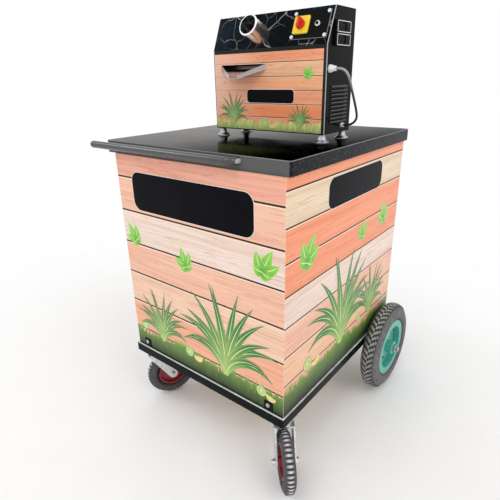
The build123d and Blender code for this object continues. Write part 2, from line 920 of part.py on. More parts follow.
with BuildPart() as trough_channel:
    with BuildSketch(Plane.YZ.offset(trough_x)):
        with BuildLine():
            Polyline(
                (mill_front, trough_z),
                (mill_front, trough_z + 2 * trough_wall_top),
                (trough_front, lip_z + 2 * trough_wall_top),
                (trough_front, lip_z),
                close=True,
            )
        make_face()
    extrude(amount=trough_half, both=True)
    with BuildSketch(Plane.XY.offset(lip_z - sheet)):
        with BuildLine():
            Polyline(*channel_outline, close=True)
        make_face()
    extrude(amount=trough_fall + 3 * trough_wall_top, mode=Mode.INTERSECT)
with BuildPart() as juice_spout:
    add(juice_trough.part)
    add(trough_channel.part, mode=Mode.SUBTRACT)
keep(juice_spout, "juice_spout")

# Control plate on the hood, with the switch plate, rotary knob and push button
with BuildPart() as control_plate:
    with BuildSketch(hood_plane):
        with Locations((control_x, control_along)):
            RectangleRounded(control_width, control_height, 3)
    extrude(amount=control_thickness)
keep(control_plate, "control_plate")

switch_x = control_x + switch_offset
with BuildPart() as switch_plate:
    with BuildSketch(hood_plane.offset(control_thickness)):
        with Locations((switch_x, control_along)):
            RectangleRounded(switch_size, switch_size, 5)
    extrude(amount=switch_thickness)
    chamfer(switch_plate.faces().sort_by(hood_axis)[-1].edges(), length=1.5)
keep(switch_plate, "switch_plate")

knob_seat = control_thickness + switch_thickness + apart
with BuildPart() as switch_knob:
    with BuildSketch(hood_plane.offset(knob_seat)):
        with Locations((switch_x, control_along)):
            Circle(knob_radius)
    extrude(amount=knob_base)
    with BuildSketch(hood_plane.offset(knob_seat + knob_base)):
        with Locations((switch_x, control_along)):
            SlotOverall(knob_grip_length, knob_grip_width, rotation=90)
    extrude(amount=knob_grip_height, taper=6)
    chamfer(switch_knob.faces().sort_by(hood_axis)[-1].edges(), length=1.5)
keep(switch_knob, "switch_knob")

button_x = control_x + button_offset
with BuildPart() as button_bezel:
    with BuildSketch(hood_plane.offset(control_thickness)):
        with Locations((button_x, control_along)):
            Circle(bezel_radius)
            Circle(button_radius + running, mode=Mode.SUBTRACT)
    extrude(amount=bezel_height)
    bezel_top = button_bezel.faces().sort_by(hood_axis)[-1]
    chamfer(bezel_top.edges().sort_by(SortBy.RADIUS)[-1:], length=1)
keep(button_bezel, "button_bezel")

button_seat = control_thickness + button_travel + apart
with BuildPart() as push_button:
    with BuildSketch(hood_plane.offset(button_seat)):
        with Locations((button_x, control_along)):
            Circle(button_radius)
    extrude(amount=button_height)
    chamfer(push_button.faces().sort_by(hood_axis)[-1].edges(), length=0.8)
keep(push_button, "push_button")

# Socket unit on the right side plate: a moulded plate with two round sockets
socket_level = mill_floor + socket_z
with BuildPart() as socket_plate:
    with BuildSketch(Plane.YZ.offset(mill_right)):
        with Locations((socket_y, socket_level)):
            RectangleRounded(socket_width, socket_height, 5)
    extrude(amount=socket_thickness)
    chamfer(socket_plate.faces().sort_by(Axis.X)[-1].edges(), length=2)
    with BuildSketch(Plane.YZ.offset(mill_right + socket_thickness)):
        with Locations((socket_y, socket_level)):
            with GridLocations(0, socket_height / 2, 1, 2):
                Circle(socket_round)
    extrude(amount=-socket_thickness / 4, mode=Mode.SUBTRACT)
    with BuildSketch(Plane.YZ.offset(mill_right + socket_thickness)):
        with Locations((socket_y, socket_level)):
            with GridLocations(0, socket_height / 2, 1, 2):
                with PolarLocations(socket_round * 0.55, 3, start_angle=90):
                    Circle(socket_round * 0.16)
    extrude(amount=-socket_thickness * 0.75, mode=Mode.SUBTRACT)
keep(socket_plate, "socket_plate")

# Cable gland high on the side plate and grommet low down, both pointing outwards
gland_level = mill_floor + gland_z
grommet_level = mill_floor + grommet_z
with BuildPart() as cable_glands:
    with BuildSketch(Plane.YZ.offset(mill_right)):
        with Locations((gland_y, gland_level)):
            RegularPolygon(gland_radius, 6)
    extrude(amount=gland_length / 4)
    with BuildSketch(Plane.YZ.offset(mill_right + gland_length / 4)):
        with Locations((gland_y, gland_level)):
            Circle(gland_radius * 0.85)
    extrude(amount=gland_length * 0.75, taper=14)
    with BuildSketch(Plane.YZ.offset(mill_right)):
        with Locations((grommet_y, grommet_level)):
            Circle(grommet_radius)
    extrude(amount=grommet_length, taper=12)
keep(cable_glands, "cable_glands")

# Power cable: a stiff loop from the gland, down past the louvres and back into the grommet
cable_route = [
    (mill_right + gland_length, gland_y, gland_level),
    (316, -77, 1258),
    (331, -77, 1249),
    (340, -75, 1233),
    (341, -62, 1206),
    (339, -38, 1177),
    (336, -14, 1149),
    (332, 7, 1121),
    (321, 12, 1106),
    (304, 12, 1097),
    (mill_right + grommet_length, grommet_y, grommet_level),
]
cable_points = [Vector(*point) for point in cable_route]
cable_runs = [b - a for a, b in zip(cable_points, cable_points[1:])]
cable_radii = []
for before, after in zip(cable_runs, cable_runs[1:]):
    half_turn = math.radians(before.get_angle(after)) / 2
    cable_radii.append(0.45 * min(before.length, after.length) / math.tan(half_turn))
print("cable bend radii", [round(radius, 1) for radius in cable_radii])
with BuildPart() as power_cable:
    with BuildLine() as cable_path:
        FilletPolyline(*cable_points, radius=cable_radii)
    with BuildSketch(Plane(origin=cable_path.line @ 0, z_dir=cable_path.line % 0)):
        Circle(cable_diameter / 2)
    sweep()
keep(power_cable, "power_cable")

# Bearing plates: they stand on the base, and the left one is notched for the juice tray
bearing_top = roller_z + bearing_rise
bush_radius = shaft_diameter / 2 + bush_wall
with BuildPart() as bearing_plates:
    for plate_x in (left_plate_x, right_plate_x):
        with BuildSketch(Plane.YZ.offset(plate_x)):
            with BuildLine():
                Polyline(
                    (roller_y - bearing_front, mill_inside),
                    (roller_y - bearing_front, bearing_top),
                    (mill_back - sheet, bearing_top),
                    (mill_back - sheet, mill_inside),
                    close=True,
                )
            make_face()
            with Locations(*roller_centres.values()):
                Circle(bush_radius + press, mode=Mode.SUBTRACT)
        extrude(amount=bearing_plate)
    block(
        (left_plate_x, roller_y - bearing_front, tray_floor - sheet),
        (
            left_plate_x + bearing_plate,
            roller_y + tray_back + sheet,
            trough_z + tray_wall + sheet,
        ),
        mode=Mode.SUBTRACT,
    )
keep(bearing_plates, "bearing_plates")

with BuildPart() as roller_bushes:
    for bush_x in (left_plate_x, right_plate_x - bush_proud):
        with BuildSketch(Plane.YZ.offset(bush_x)):
            with Locations(*roller_centres.values()):
                Circle(bush_radius)
                Circle(shaft_diameter / 2 + running, mode=Mode.SUBTRACT)
        extrude(amount=bearing_plate + bush_proud)
keep(roller_bushes, "roller_bushes")

# Gear tooth: involute flanks, each drawn as an arc through three points of the curve
pitch_radius = gear_distance / 2
base_radius = pitch_radius * math.cos(math.radians(pressure_angle))
tip_radius = pitch_radius + gear_module * 0.95
root_radius = pitch_radius - gear_module * 1.25
tooth_pitch = 360 / gear_teeth


def involute(radius):
    """The involute function of the pressure angle at a radius outside the base circle."""
    angle = math.acos(base_radius / radius)
    return math.tan(angle) - angle


def flank_point(radius, side):
    """A point on one flank of a tooth whose middle lies on the first axis."""
    thickness = math.pi * gear_module / 2 - gear_backlash
    half_angle = thickness / (2 * pitch_radius) + involute(pitch_radius) - involute(radius)
    return (radius * math.cos(half_angle), side * radius * math.sin(half_angle))


flank_radii = (base_radius, pitch_radius, tip_radius)
lower_flank = [flank_point(radius, -1) for radius in flank_radii]
upper_flank = [flank_point(radius, 1) for radius in reversed(flank_radii)]
tooth_foot = root_radius * 0.97
with BuildSketch() as tooth:
    with BuildLine():
        Line((tooth_foot, lower_flank[0][1]), lower_flank[0])
        ThreePointArc(*lower_flank)
        ThreePointArc(lower_flank[2], (tip_radius, 0), upper_flank[0])
        ThreePointArc(*upper_flank)
        Line(upper_flank[2], (tooth_foot, upper_flank[2][1]))
        Line((tooth_foot, upper_flank[2][1]), (tooth_foot, lower_flank[0][1]))
    make_face()

# Tooth positions: a tooth of the top gear faces the front gear, and both others mesh with it
top_phase = 270 - roller_spread
back_lead = (270 + roller_spread - top_phase) % tooth_pitch
tooth_phases = {
    "top": top_phase,
    "front": 90 - roller_spread + tooth_pitch / 2,
    "back": 90 + roller_spread + back_lead + tooth_pitch / 2,
}

# Rollers with their shafts, and the gears keyed on the right-hand ends
shaft_left = left_plate_x - bush_proud
for name, centre in roller_centres.items():
    shaft_right = gear_x + gear_width + 2
    if name == "top":
        shaft_right = gearbox_x + gearbox_width - bush_proud
    with BuildPart() as roller:
        with BuildSketch(Plane.YZ.offset(drum_left)):
            with Locations(centre):
                Circle(roller_diameter / 2)
                with PolarLocations(roller_diameter / 2, flute_count):
                    RegularPolygon(flute_radius, 4, mode=Mode.SUBTRACT)
        extrude(amount=roller_length)
        with BuildSketch(Plane.YZ.offset(shaft_left)):
            with Locations(centre):
                Circle(shaft_diameter / 2)
        extrude(amount=shaft_right - shaft_left)
    keep(roller, f"roller_{name}")

    with BuildPart() as gear:
        with BuildSketch(Plane.YZ.offset(gear_x)):
            with Locations(centre):
                Circle(root_radius)
                with PolarLocations(0, gear_teeth, start_angle=tooth_phases[name]):
                    add(tooth.sketch)
                Circle(shaft_diameter / 2 + press, mode=Mode.SUBTRACT)
        extrude(amount=gear_width)
    keep(gear, f"roller_gear_{name}")

# Worm gearbox: a cast body with a hollow output for the top roller's shaft
gearbox_bottom = roller_z - gearbox_half
with BuildPart() as gearbox:
    with BuildSketch(Plane.YZ.offset(gearbox_x)):
        with Locations((roller_y + (gearbox_back - gearbox_front) / 2, roller_z)):
            RectangleRounded(gearbox_front + gearbox_back, 2 * gearbox_half, gearbox_corner)
    extrude(amount=gearbox_width)
    with BuildSketch(Plane.YZ.offset(gearbox_x - gearbox_gap / 2)):
        with Locations((roller_y, roller_z)):
            Circle(shaft_diameter)
    extrude(amount=gearbox_gap / 2)
    with BuildSketch(Plane.YZ.offset(gearbox_x - gearbox_gap / 2)):
        with Locations((roller_y, roller_z)):
            Circle(shaft_diameter / 2 + running)
    extrude(amount=gearbox_gap / 2 + gearbox_width, mode=Mode.SUBTRACT)
keep(gearbox, "gearbox")

# Motor: an upright finned body between the base plate and the gearbox
motor_centre = (gearbox_x + gearbox_width / 2, roller_y - worm_offset)
motor_radius = motor_diameter / 2
with BuildPart() as motor:
    with BuildSketch(Plane.XY.offset(mill_inside)):
        with Locations(motor_centre):
            Circle(motor_radius)
    extrude(amount=motor_cover)
    with BuildSketch(Plane.XY.offset(mill_inside + motor_cover)):
        with Locations(motor_centre):
            Circle(motor_radius - fin_height)
            with PolarLocations(motor_radius - fin_height / 2 - fin_width / 4, motor_fins):
                Rectangle(fin_height + fin_width / 2, fin_width)
    extrude(amount=gearbox_bottom - mill_inside - 2 * motor_cover)
    with BuildSketch(Plane.XY.offset(gearbox_bottom - motor_cover)):
        with Locations(motor_centre):
            Circle(motor_radius - fin_height)
    extrude(amount=motor_cover)
keep(motor, "motor")
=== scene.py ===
import math
from functools import partial

import bpy
from mathutils import Matrix, Vector


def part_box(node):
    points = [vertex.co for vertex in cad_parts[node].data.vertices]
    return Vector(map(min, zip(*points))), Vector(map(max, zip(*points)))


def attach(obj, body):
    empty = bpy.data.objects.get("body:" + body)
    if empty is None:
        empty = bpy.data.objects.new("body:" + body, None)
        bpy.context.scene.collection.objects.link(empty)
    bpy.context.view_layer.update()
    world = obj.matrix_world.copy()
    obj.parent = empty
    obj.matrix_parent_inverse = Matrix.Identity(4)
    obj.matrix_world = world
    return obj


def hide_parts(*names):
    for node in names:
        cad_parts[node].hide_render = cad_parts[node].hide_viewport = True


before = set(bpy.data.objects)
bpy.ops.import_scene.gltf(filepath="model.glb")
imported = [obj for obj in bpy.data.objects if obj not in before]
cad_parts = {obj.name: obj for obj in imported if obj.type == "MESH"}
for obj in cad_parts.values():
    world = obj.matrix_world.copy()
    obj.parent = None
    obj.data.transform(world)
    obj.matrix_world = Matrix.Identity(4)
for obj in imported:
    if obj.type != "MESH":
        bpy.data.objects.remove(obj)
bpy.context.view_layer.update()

# Base frame: four rails of angle iron, mitred and welded at the corners, upright leg outside.
# They carry glossy black enamel, with a painted highlight along the top of the upright legs.
rail_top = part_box("front_rail")[1].z
rail_highlight_depth = 0.0014


def tint(red, green, blue):
    """A colour as the eye reads it, 0 to 255, in the linear values that a shader takes."""
    levels = [level / 255 for level in (red, green, blue)]
    return [v / 12.92 if v < 0.04 else ((v + 0.055) / 1.055) ** 2.4 for v in levels] + [1.0]


def toned(colour, factor):
    """A lighter or darker tone of a linear colour."""
    return [min(level * factor, 1.0) for level in colour[:3]] + [1.0]


def new_finish(name, **values):
    """An empty finish, with the values that are the same all over on its shader."""
    finish = bpy.data.materials.new(name)
    finish.use_nodes = True
    return show(finish, **values)


def show(finish, **values):
    """Give the shader of a finish plain or worked-out values."""
    shader = finish.node_tree.nodes["Principled BSDF"]
    for socket, value in values.items():
        feed(shader.inputs[socket.replace("_", " ")], value)
    return finish


def feed(socket, value):
    """Link a socket to the output that it takes, or set its plain value."""
    if isinstance(value, bpy.types.NodeSocket):
        socket.id_data.links.new(value, socket)
    else:
        socket.default_value = value


def add(kind, inputs, **settings):
    """Add one node to the finish that its inputs come from, and return its outputs."""
    tree = next(value.id_data for value in inputs.values() if isinstance(value, bpy.types.NodeSocket))
    part = tree.nodes.new("ShaderNode" + kind)
    for setting, value in settings.items():
        setattr(part, setting, value)
    for socket, value in inputs.items():
        feed(part.inputs[socket], value)
    return part.outputs


def spot(finish, kind="Object"):
    """The place of each point on the piece, or on its UV map."""
    return finish.node_tree.nodes.new("ShaderNodeTexCoord").outputs[kind]


def along(finish, letter):
    """How far each point lies along one axis."""
    return add("SeparateXYZ", {"Vector": spot(finish)})[letter]


def calc(operation, first, second=0.0):
    """One sum on two numbers."""
    return add("Math", {0: first, 1: second}, operation=operation)[0]


times = partial(calc, "MULTIPLY")
beyond = partial(calc, "GREATER_THAN")


def graded(value, start, end, first, last):
    """A share that runs from one value to another between two readings."""
    inputs = {"Value": value, "From Min": start, "From Max": end, "To Min": first, "To Max": last}
    return add("MapRange", inputs)[0]


def uneven(share, low, high):
    """Spread the middle of a noise between two values."""
    return graded(share, 0.3, 0.7, low, high)


def noise(where, scale, detail=4.0, roughness=0.5, warp=0.0):
    """Soft random clouds between 0 and 1."""
    inputs = {"Vector": where, "Scale": scale, "Detail": detail, "Roughness": roughness, "Distortion": warp}
    return add("TexNoise", inputs)[0]


def ramp(share, *stops, steps="LINEAR"):
    """Colours along a share from 0 to 1, each stop a place and a linear colour."""
    colours = add("ValToRGB", {"Fac": share})["Color"]
    scale = colours.node.color_ramp
    scale.interpolation = steps
    scale.elements[1].position, scale.elements[1].color = stops[-1]
    scale.elements[0].position, scale.elements[0].color = stops[0]
    for place, colour in stops[1:-1]:
        scale.elements.new(place).color = colour
    return colours


def shaded(share, colour, dark, light, start=0.3, end=0.7):
    """One colour that runs from a darker to a lighter tone."""
    return ramp(share, (start, toned(colour, dark)), (end, toned(colour, light)))


def mixed(share, first, second, blend="MIX"):
    """Two colours mixed by a share."""
    inputs = {"Fac": share, "Color1": first, "Color2": second}
    return add("MixRGB", inputs, blend_type=blend)[0]


def over(finish, share, colour):
    """Lay another colour over a finish where the share is 1."""
    base = finish.node_tree.nodes["Principled BSDF"].inputs["Base Color"]
    show(finish, Base_Color=mixed(share, base.links[0].from_socket, colour))


def relief(height, strength, depth=0.0003):
    """Fine unevenness of a surface."""
    return add("Bump", {"Height": height, "Strength": strength, "Distance": depth})["Normal"]


def enamel(name, colour, roughness, peel=450.0, mottle=0.12, shine=0.5):
    """Paint or moulded plastic: a little uneven in colour and gloss, over a fine orange peel."""
    finish = new_finish(name, Specular_IOR_Level=shine)
    where = spot(finish)
    clouds = noise(where, 8.0)
    return show(
        finish,
        Base_Color=shaded(clouds, colour, 1 - mottle, 1 + mottle),
        Roughness=uneven(clouds, roughness * 0.8, roughness * 1.2),
        Normal=relief(noise(where, peel, 2.0), 0.15),
    )


def dress(finish, *names):
    """Give CAD pieces a finish."""
    for name in names:
        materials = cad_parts[name].data.materials
        materials.clear()
        materials.append(finish)


rail_black = tint(17, 21, 20)
rail_highlight_pale = tint(238, 242, 238)
rail_enamel = enamel("rail_enamel", rail_black, 0.22, mottle=0.25, shine=0.05)
# Painted highlight: a pale line in patches along the top of the upright legs.
rail_top_highlight = beyond(along(rail_enamel, "Z"), rail_top - rail_highlight_depth)
patchy = uneven(noise(spot(rail_enamel), 40.0), 0.65, 1.0)
over(rail_enamel, times(rail_top_highlight, patchy), rail_highlight_pale)
dress(rail_enamel, "front_rail", "right_rail", "back_rail", "left_rail")

# Hold-down cleats: two flat steel tabs in the gap behind the front rail, in the rail's enamel.
# A zinc-plated pan-head screw through each one holds the front board.
cleat_low, cleat_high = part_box("hold_down_cleats")
cleat_half = 0.016
cleat_screw_drop = 0.0126
cleat_screw_radius = 0.0075
cleat_screw_height = 0.003
head_easing = 0.35
recess_margin = 0.4
recess_depth = 0.45
smooth_below = math.radians(35)
zinc_grey = tint(186, 188, 190)
cylinder = bpy.ops.mesh.primitive_cylinder_add


def placed(x, y, z):
    """A move away from the origin."""
    return Matrix.Translation((x, y, z))


def turned(degrees, axis):
    """A turn about one axis."""
    return Matrix.Rotation(math.radians(degrees), 4, axis)


def start_piece(name, add_primitive, scale=(1, 1, 1), **sizes):
    """Add a primitive, with its size and place put in its mesh."""
    bpy.ops.object.select_all(action="DESELECT")
    add_primitive(**sizes)
    piece = bpy.context.object
    piece.scale = scale
    bpy.ops.object.transform_apply(location=True, rotation=True, scale=True)
    piece.name = piece.data.name = name
    return piece


def pick(piece, wanted, kind="FACE"):
    """Go to edit mode with only those faces or points selected that pass a test."""
    bpy.ops.object.mode_set(mode="EDIT")
    bpy.ops.mesh.select_mode(type=kind)
    bpy.ops.mesh.select_all(action="DESELECT")
    bpy.ops.object.mode_set(mode="OBJECT")
    for item in piece.data.polygons if kind == "FACE" else piece.data.vertices:
        item.select = wanted(item)
    bpy.ops.object.mode_set(mode="EDIT")


def faces_up(face):
    """Whether a face looks straight up."""
    return face.normal.z > 0.999


def raise_faces(height):
    """Extrude what is selected along Z; the new top stays selected."""
    bpy.ops.mesh.extrude_region_move(TRANSFORM_OT_translate={"value": (0, 0, height)})


def smoothed(piece, *finishes):
    """Leave edit mode, smooth the gentle edges and give the piece its finishes."""
    bpy.ops.object.mode_set(mode="OBJECT")
    bpy.ops.object.shade_smooth_by_angle(angle=smooth_below)
    for finish in finishes:
        piece.data.materials.append(finish)
    return piece


def set_copies(master, name, places, body):
    """Set copies of a piece, each with its own mesh, and let them ride on a body."""
    for number, place in enumerate(places, 1):
        copy = master.copy()
        copy.data = master.data.copy()
        copy.name = copy.data.name = f"{name}_{number}"
        copy.data.transform(place)
        bpy.context.collection.objects.link(copy)
        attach(copy, body)


def set_screws(name, radius, height, finish, places, body, corners=24):
    """Model one screw or bolt head on Z = 0, its driver recess sunk in the top, and set copies of it."""
    centre = (0, 0, height / 2)
    head = start_piece(name, cylinder, vertices=corners, radius=radius, depth=height, location=centre)
    pick(head, faces_up)
    bpy.ops.mesh.bevel(offset=height * head_easing, segments=3)
    pick(head, faces_up)
    bpy.ops.mesh.inset(thickness=radius * recess_margin)
    raise_faces(-height * recess_depth)
    smoothed(head, finish)
    set_copies(head, name, places, body)
    bpy.data.objects.remove(head)


def plated(name, colour, roughness):
    """Zinc plate: bright metal with faint crystals of different tone."""
    finish = new_finish(name, Metallic=1.0)
    where = spot(finish)
    crystals = add("TexVoronoi", {"Vector": where, "Scale": 180.0})["Color"]
    grey = add("RGBToBW", {"Color": crystals})[0]
    return show(
        finish,
        Base_Color=shaded(grey, colour, 0.75, 1.15, 0.1, 0.9),
        Roughness=uneven(noise(where, 14.0), roughness * 0.7, roughness * 1.3),
        Normal=relief(noise(where, 260.0), 0.1),
    )


facing_front = turned(90, "X")
cleat_enamel = enamel("cleat_enamel", rail_black, 0.25, mottle=0.25, shine=0.05)
zinc = plated("zinc_plate", zinc_grey, 0.34)
dress(cleat_enamel, "hold_down_cleats")
cleat_places = [
    placed(x, cleat_low.y, cleat_high.z - cleat_screw_drop) @ facing_front
    for x in (cleat_low.x + cleat_half, cleat_high.x - cleat_half)
]
set_screws("cleat_screw", cleat_screw_radius, cleat_screw_height, zinc, cleat_places, "cart")

# Swivel casters: pressed and zinc-plated plates and forks, red rims and solid rubber tyres.
# Four hexagon bolts hold each top plate to the rail, and ribs run across the tread.
plate_low, plate_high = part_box("caster_plates")
caster_plate_size = 0.072
caster_plate_thickness = 0.005
plate_bolt_inset = 0.008
plate_bolt_radius = 0.0065
plate_bolt_height = 0.0045
caster_ring = 0.0770
caster_section = 0.0206
caster_tread = caster_ring + caster_section * 0.9
caster_rib = 0.0016
caster_segments = 80
caster_sides = 28
caster_highlight_half = 0.013
caster_turns = {"left": math.radians(-26), "right": math.radians(224)}
tread_rows = 3
lug_easing = 0.25
hexagon = 6
plus = partial(calc, "ADD")


def from_hub(finish, hub, axle, product):
    """A product of each point's offset from a wheel's hub with the direction of its axle."""
    offset = add("VectorMath", {0: spot(finish), 1: hub}, operation="SUBTRACT")["Vector"]
    return add("VectorMath", {0: offset, 1: axle}, operation=product)


def rubber(name, wall, groove_shade, hub, axle, tread_radius):
    """Tyre rubber: dusty walls with moulded rings, darker by the rim, with painted shade in the grooves of
    the tread.
    """
    finish = new_finish(name, Specular_IOR_Level=0.2)
    where = spot(finish)
    arm = from_hub(finish, hub, axle, "CROSS_PRODUCT")["Vector"]
    radius = add("VectorMath", {0: arm}, operation="LENGTH")["Value"]
    # Painted shade: the grooves between the lugs are darker.
    tread = graded(radius, tread_radius - 0.004, tread_radius, 0.0, 1.0)
    dusty = graded(radius, tread_radius * 0.64, tread_radius * 0.78, 0.0, 1.0)
    clouds = noise(where, 60.0, 6.0, 0.7)
    base = mixed(dusty, toned(wall, 0.4), shaded(clouds, wall, 0.62, 1.4))
    rings = calc("SINE", times(radius, 900.0))
    height = plus(times(rings, 0.3), noise(where, 700.0, 3.0))
    return show(
        finish,
        Base_Color=mixed(tread, base, groove_shade),
        Roughness=uneven(clouds, 0.55, 0.8),
        Normal=relief(height, 0.5, 0.0006),
    )


def highlit_rubber(name, crown, shoulder, hub, axle, half_width):
    """Tyre rubber where it meets the ground: a painted highlight along the crown, darker towards the
    shoulders.
    """
    finish = new_finish(name, Specular_IOR_Level=0.2)
    where = spot(finish)
    across = calc("ABSOLUTE", from_hub(finish, hub, axle, "DOT_PRODUCT")["Value"])
    highlight_share = graded(across, half_width * 0.2, half_width, 1.0, 0.0)
    clouds = noise(where, 90.0, 6.0, 0.7)
    mottled = ramp(clouds, (0.3, (0.62, 0.62, 0.62, 1)), (0.68, (1.3, 1.3, 1.3, 1)))
    return show(
        finish,
        Base_Color=mixed(1.0, mixed(highlight_share, shoulder, crown), mottled, "MULTIPLY"),
        Roughness=uneven(clouds, 0.6, 0.85),
        Normal=relief(noise(where, 900.0, 3.0), 0.3, 0.0004),
    )


def ribbed_tyre(name, hub, turn, ring, section, segments, sides, height, raised):
    """A tyre about an axle that lies along X before it is turned, with lugs raised from its crown."""
    torus = bpy.ops.mesh.primitive_torus_add
    tyre = start_piece(
        name, torus, major_radius=ring, minor_radius=section, major_segments=segments, minor_segments=sides
    )

    def is_lug(face):
        step, place = divmod(face.index, sides)
        side = place if place < sides // 2 else place - sides
        row = side if side >= 0 else -side - 1
        return row < tread_rows and raised(step, row, side < 0)

    pick(tyre, is_lug)
    bpy.ops.mesh.extrude_region_move()
    bpy.ops.object.mode_set(mode="OBJECT")
    for vertex in tyre.data.vertices:
        if vertex.select:
            core = Vector((vertex.co.x, vertex.co.y, 0)).normalized() * ring
            vertex.co += (vertex.co - core).normalized() * height * (1 - lug_easing)
    for face in tyre.data.polygons:
        face.material_index = int(face.select)
    bpy.ops.object.mode_set(mode="EDIT")
    bpy.ops.mesh.inset(thickness=height * lug_easing, depth=height * lug_easing)
    bpy.ops.object.mode_set(mode="OBJECT")
    tyre.rotation_euler = (0, math.radians(90), turn)
    tyre.location = hub
    bpy.ops.object.transform_apply(location=True, rotation=True, scale=True)
    return tyre


def middle(node):
    """The middle of a CAD piece's box."""
    low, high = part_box(node)
    return (low + high) / 2


rim_red = enamel("caster_rim_red", tint(146, 44, 52), 0.32, mottle=0.2)
# Painted light: the forks' zinc is a lighter copy of the plates' zinc.
lit_fork_zinc = plated("lit_fork_zinc", tint(222, 224, 226), 0.3)
dress(zinc, "caster_plates")
dress(lit_fork_zinc, "caster_fork_left", "caster_fork_right", "caster_axle_left", "caster_axle_right")
dress(rim_red, "caster_rim_left", "caster_rim_right")
for side, turn in caster_turns.items():
    hub = middle(f"caster_rim_{side}")
    axle = (math.cos(turn), math.sin(turn), 0.0)
    caster_tyre = ribbed_tyre(
        f"caster_ribbed_tyre_{side}", hub, turn, caster_ring, caster_section, caster_segments, caster_sides,
        caster_rib, lambda step, row, far: step % 2 == 0,
    )
    caster_wall = rubber(
        f"caster_rubber_{side}", tint(84, 83, 84), tint(64, 63, 65), hub, axle, caster_tread
    )
    # Painted highlight: pale along the crown of the ribs.
    caster_crown_highlight = highlit_rubber(
        f"caster_crown_highlight_{side}", tint(204, 204, 205), tint(78, 77, 78), hub, axle, caster_highlight_half
    )
    smoothed(caster_tyre, caster_wall, caster_crown_highlight)
    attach(caster_tyre, f"caster_wheel_{side}")
    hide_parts(f"caster_tyre_{side}")

bolt_near = plate_bolt_inset
bolt_far = caster_plate_size - plate_bolt_inset
plate_corners = [
    placed(x, y, plate_high.z - caster_plate_thickness) @ turned(180, "X")
    for x in (
        plate_low.x + bolt_near, plate_low.x + bolt_far, plate_high.x - bolt_far, plate_high.x - bolt_near
    )
    for y in (plate_low.y + bolt_near, plate_low.y + bolt_far)
]
set_screws(
    "plate_bolt", plate_bolt_radius, plate_bolt_height, zinc, plate_corners, "cart", corners=hexagon
)

# Rear axle and wheels: a turned bar through two drop plates, with barrow wheels on its ends.
# The pressed rims are enamelled teal and bolted together, and the tyres have a staggered block tread.
rear_axle_line = (1.0, 0.0, 0.0)
rear_ring = 0.1418
rear_section = 0.0365
rear_tread = rear_ring + rear_section * 0.82
rear_lug = 0.0040
rear_segments = 192
rear_sides = 32
rear_highlight_half = 0.024
rim_bolt_circle = 0.062
rim_bolt_seat = 0.0072
rim_bolt_count = 4
rim_bolt_start = 45
rim_bolt_radius = 0.0075
rim_bolt_height = 0.0055
valve_circle = 0.0895
valve_angle = 110
valve_lean = 150
valve_offset = 0.012
valve_length = 0.028
valve_radius = 0.0045
valve_shoulder = 0.0012
valve_tip = 0.006
valve_easing = 0.0006
valve_corners = 20


def brushed(name, colour, roughness, lay):
    """Bare metal with fine parallel marks; lay says how finely they repeat along X, Y and Z."""
    finish = new_finish(name, Metallic=1.0)
    where = spot(finish)
    drawn = add("Mapping", {"Vector": where, "Scale": lay})["Vector"]
    lines = noise(drawn, 1.0, 6.0, 0.7)
    return show(
        finish,
        Base_Color=shaded(lines, colour, 0.82, 1.1),
        Roughness=uneven(noise(where, 12.0), roughness * 0.75, roughness * 1.25),
        Normal=relief(lines, 0.08),
    )


axle_steel = brushed("axle_steel", tint(200, 200, 202), 0.28, (900.0, 8.0, 8.0))
rim_teal = enamel("rim_teal", tint(82, 172, 158), 0.3, mottle=0.18)
dress(axle_steel, "rear_axle", "axle_nuts")
dress(cleat_enamel, "axle_brackets")
dress(rim_teal, "rear_rim_left", "rear_rim_right")
for side, outward in (("left", -1), ("right", 1)):
    wheel = f"rear_wheel_{side}"
    hub = middle(f"rear_rim_{side}")
    rear_tyre = ribbed_tyre(
        f"rear_block_tyre_{side}", hub, 0.0, rear_ring, rear_section, rear_segments, rear_sides,
        rear_lug, lambda step, row, far: (step + row + 2 * far) % 4 < 2,
    )
    rear_wall = rubber(
        f"rear_rubber_{side}", tint(108, 108, 108), tint(70, 69, 70), hub, rear_axle_line, rear_tread
    )
    # Painted highlight: pale on the lug tops along the crown.
    rear_crown_highlight = highlit_rubber(
        f"rear_crown_highlight_{side}", tint(172, 171, 170), tint(126, 125, 125), hub, rear_axle_line, rear_highlight_half
    )
    smoothed(rear_tyre, rear_wall, rear_crown_highlight)
    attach(rear_tyre, wheel)
    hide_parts(f"rear_tyre_{side}")

    on_spoke = placed(outward * rim_bolt_seat, 0, rim_bolt_circle) @ turned(90 * outward, "Y")
    seats = [
        placed(*hub) @ turned(rim_bolt_start + 360 / rim_bolt_count * number, "X") @ on_spoke
        for number in range(rim_bolt_count)
    ]
    set_screws(
        f"rim_bolt_{side}", rim_bolt_radius, rim_bolt_height, zinc, seats, wheel, corners=hexagon
    )

    stem = f"valve_stem_{side}"
    valve = start_piece(stem, cylinder, vertices=valve_corners, radius=valve_radius, depth=valve_length)
    pick(valve, faces_up)
    bpy.ops.mesh.inset(thickness=valve_shoulder)
    raise_faces(valve_tip)
    bpy.ops.mesh.bevel(offset=valve_easing, segments=2)
    smoothed(valve, rear_wall)
    in_rim = placed(outward * valve_offset, 0, valve_circle - valve_length / 2)
    leaning = in_rim @ turned(valve_lean * outward, "Y")
    valve.data.transform(placed(*hub) @ turned(valve_angle, "X") @ leaning)
    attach(valve, wheel)

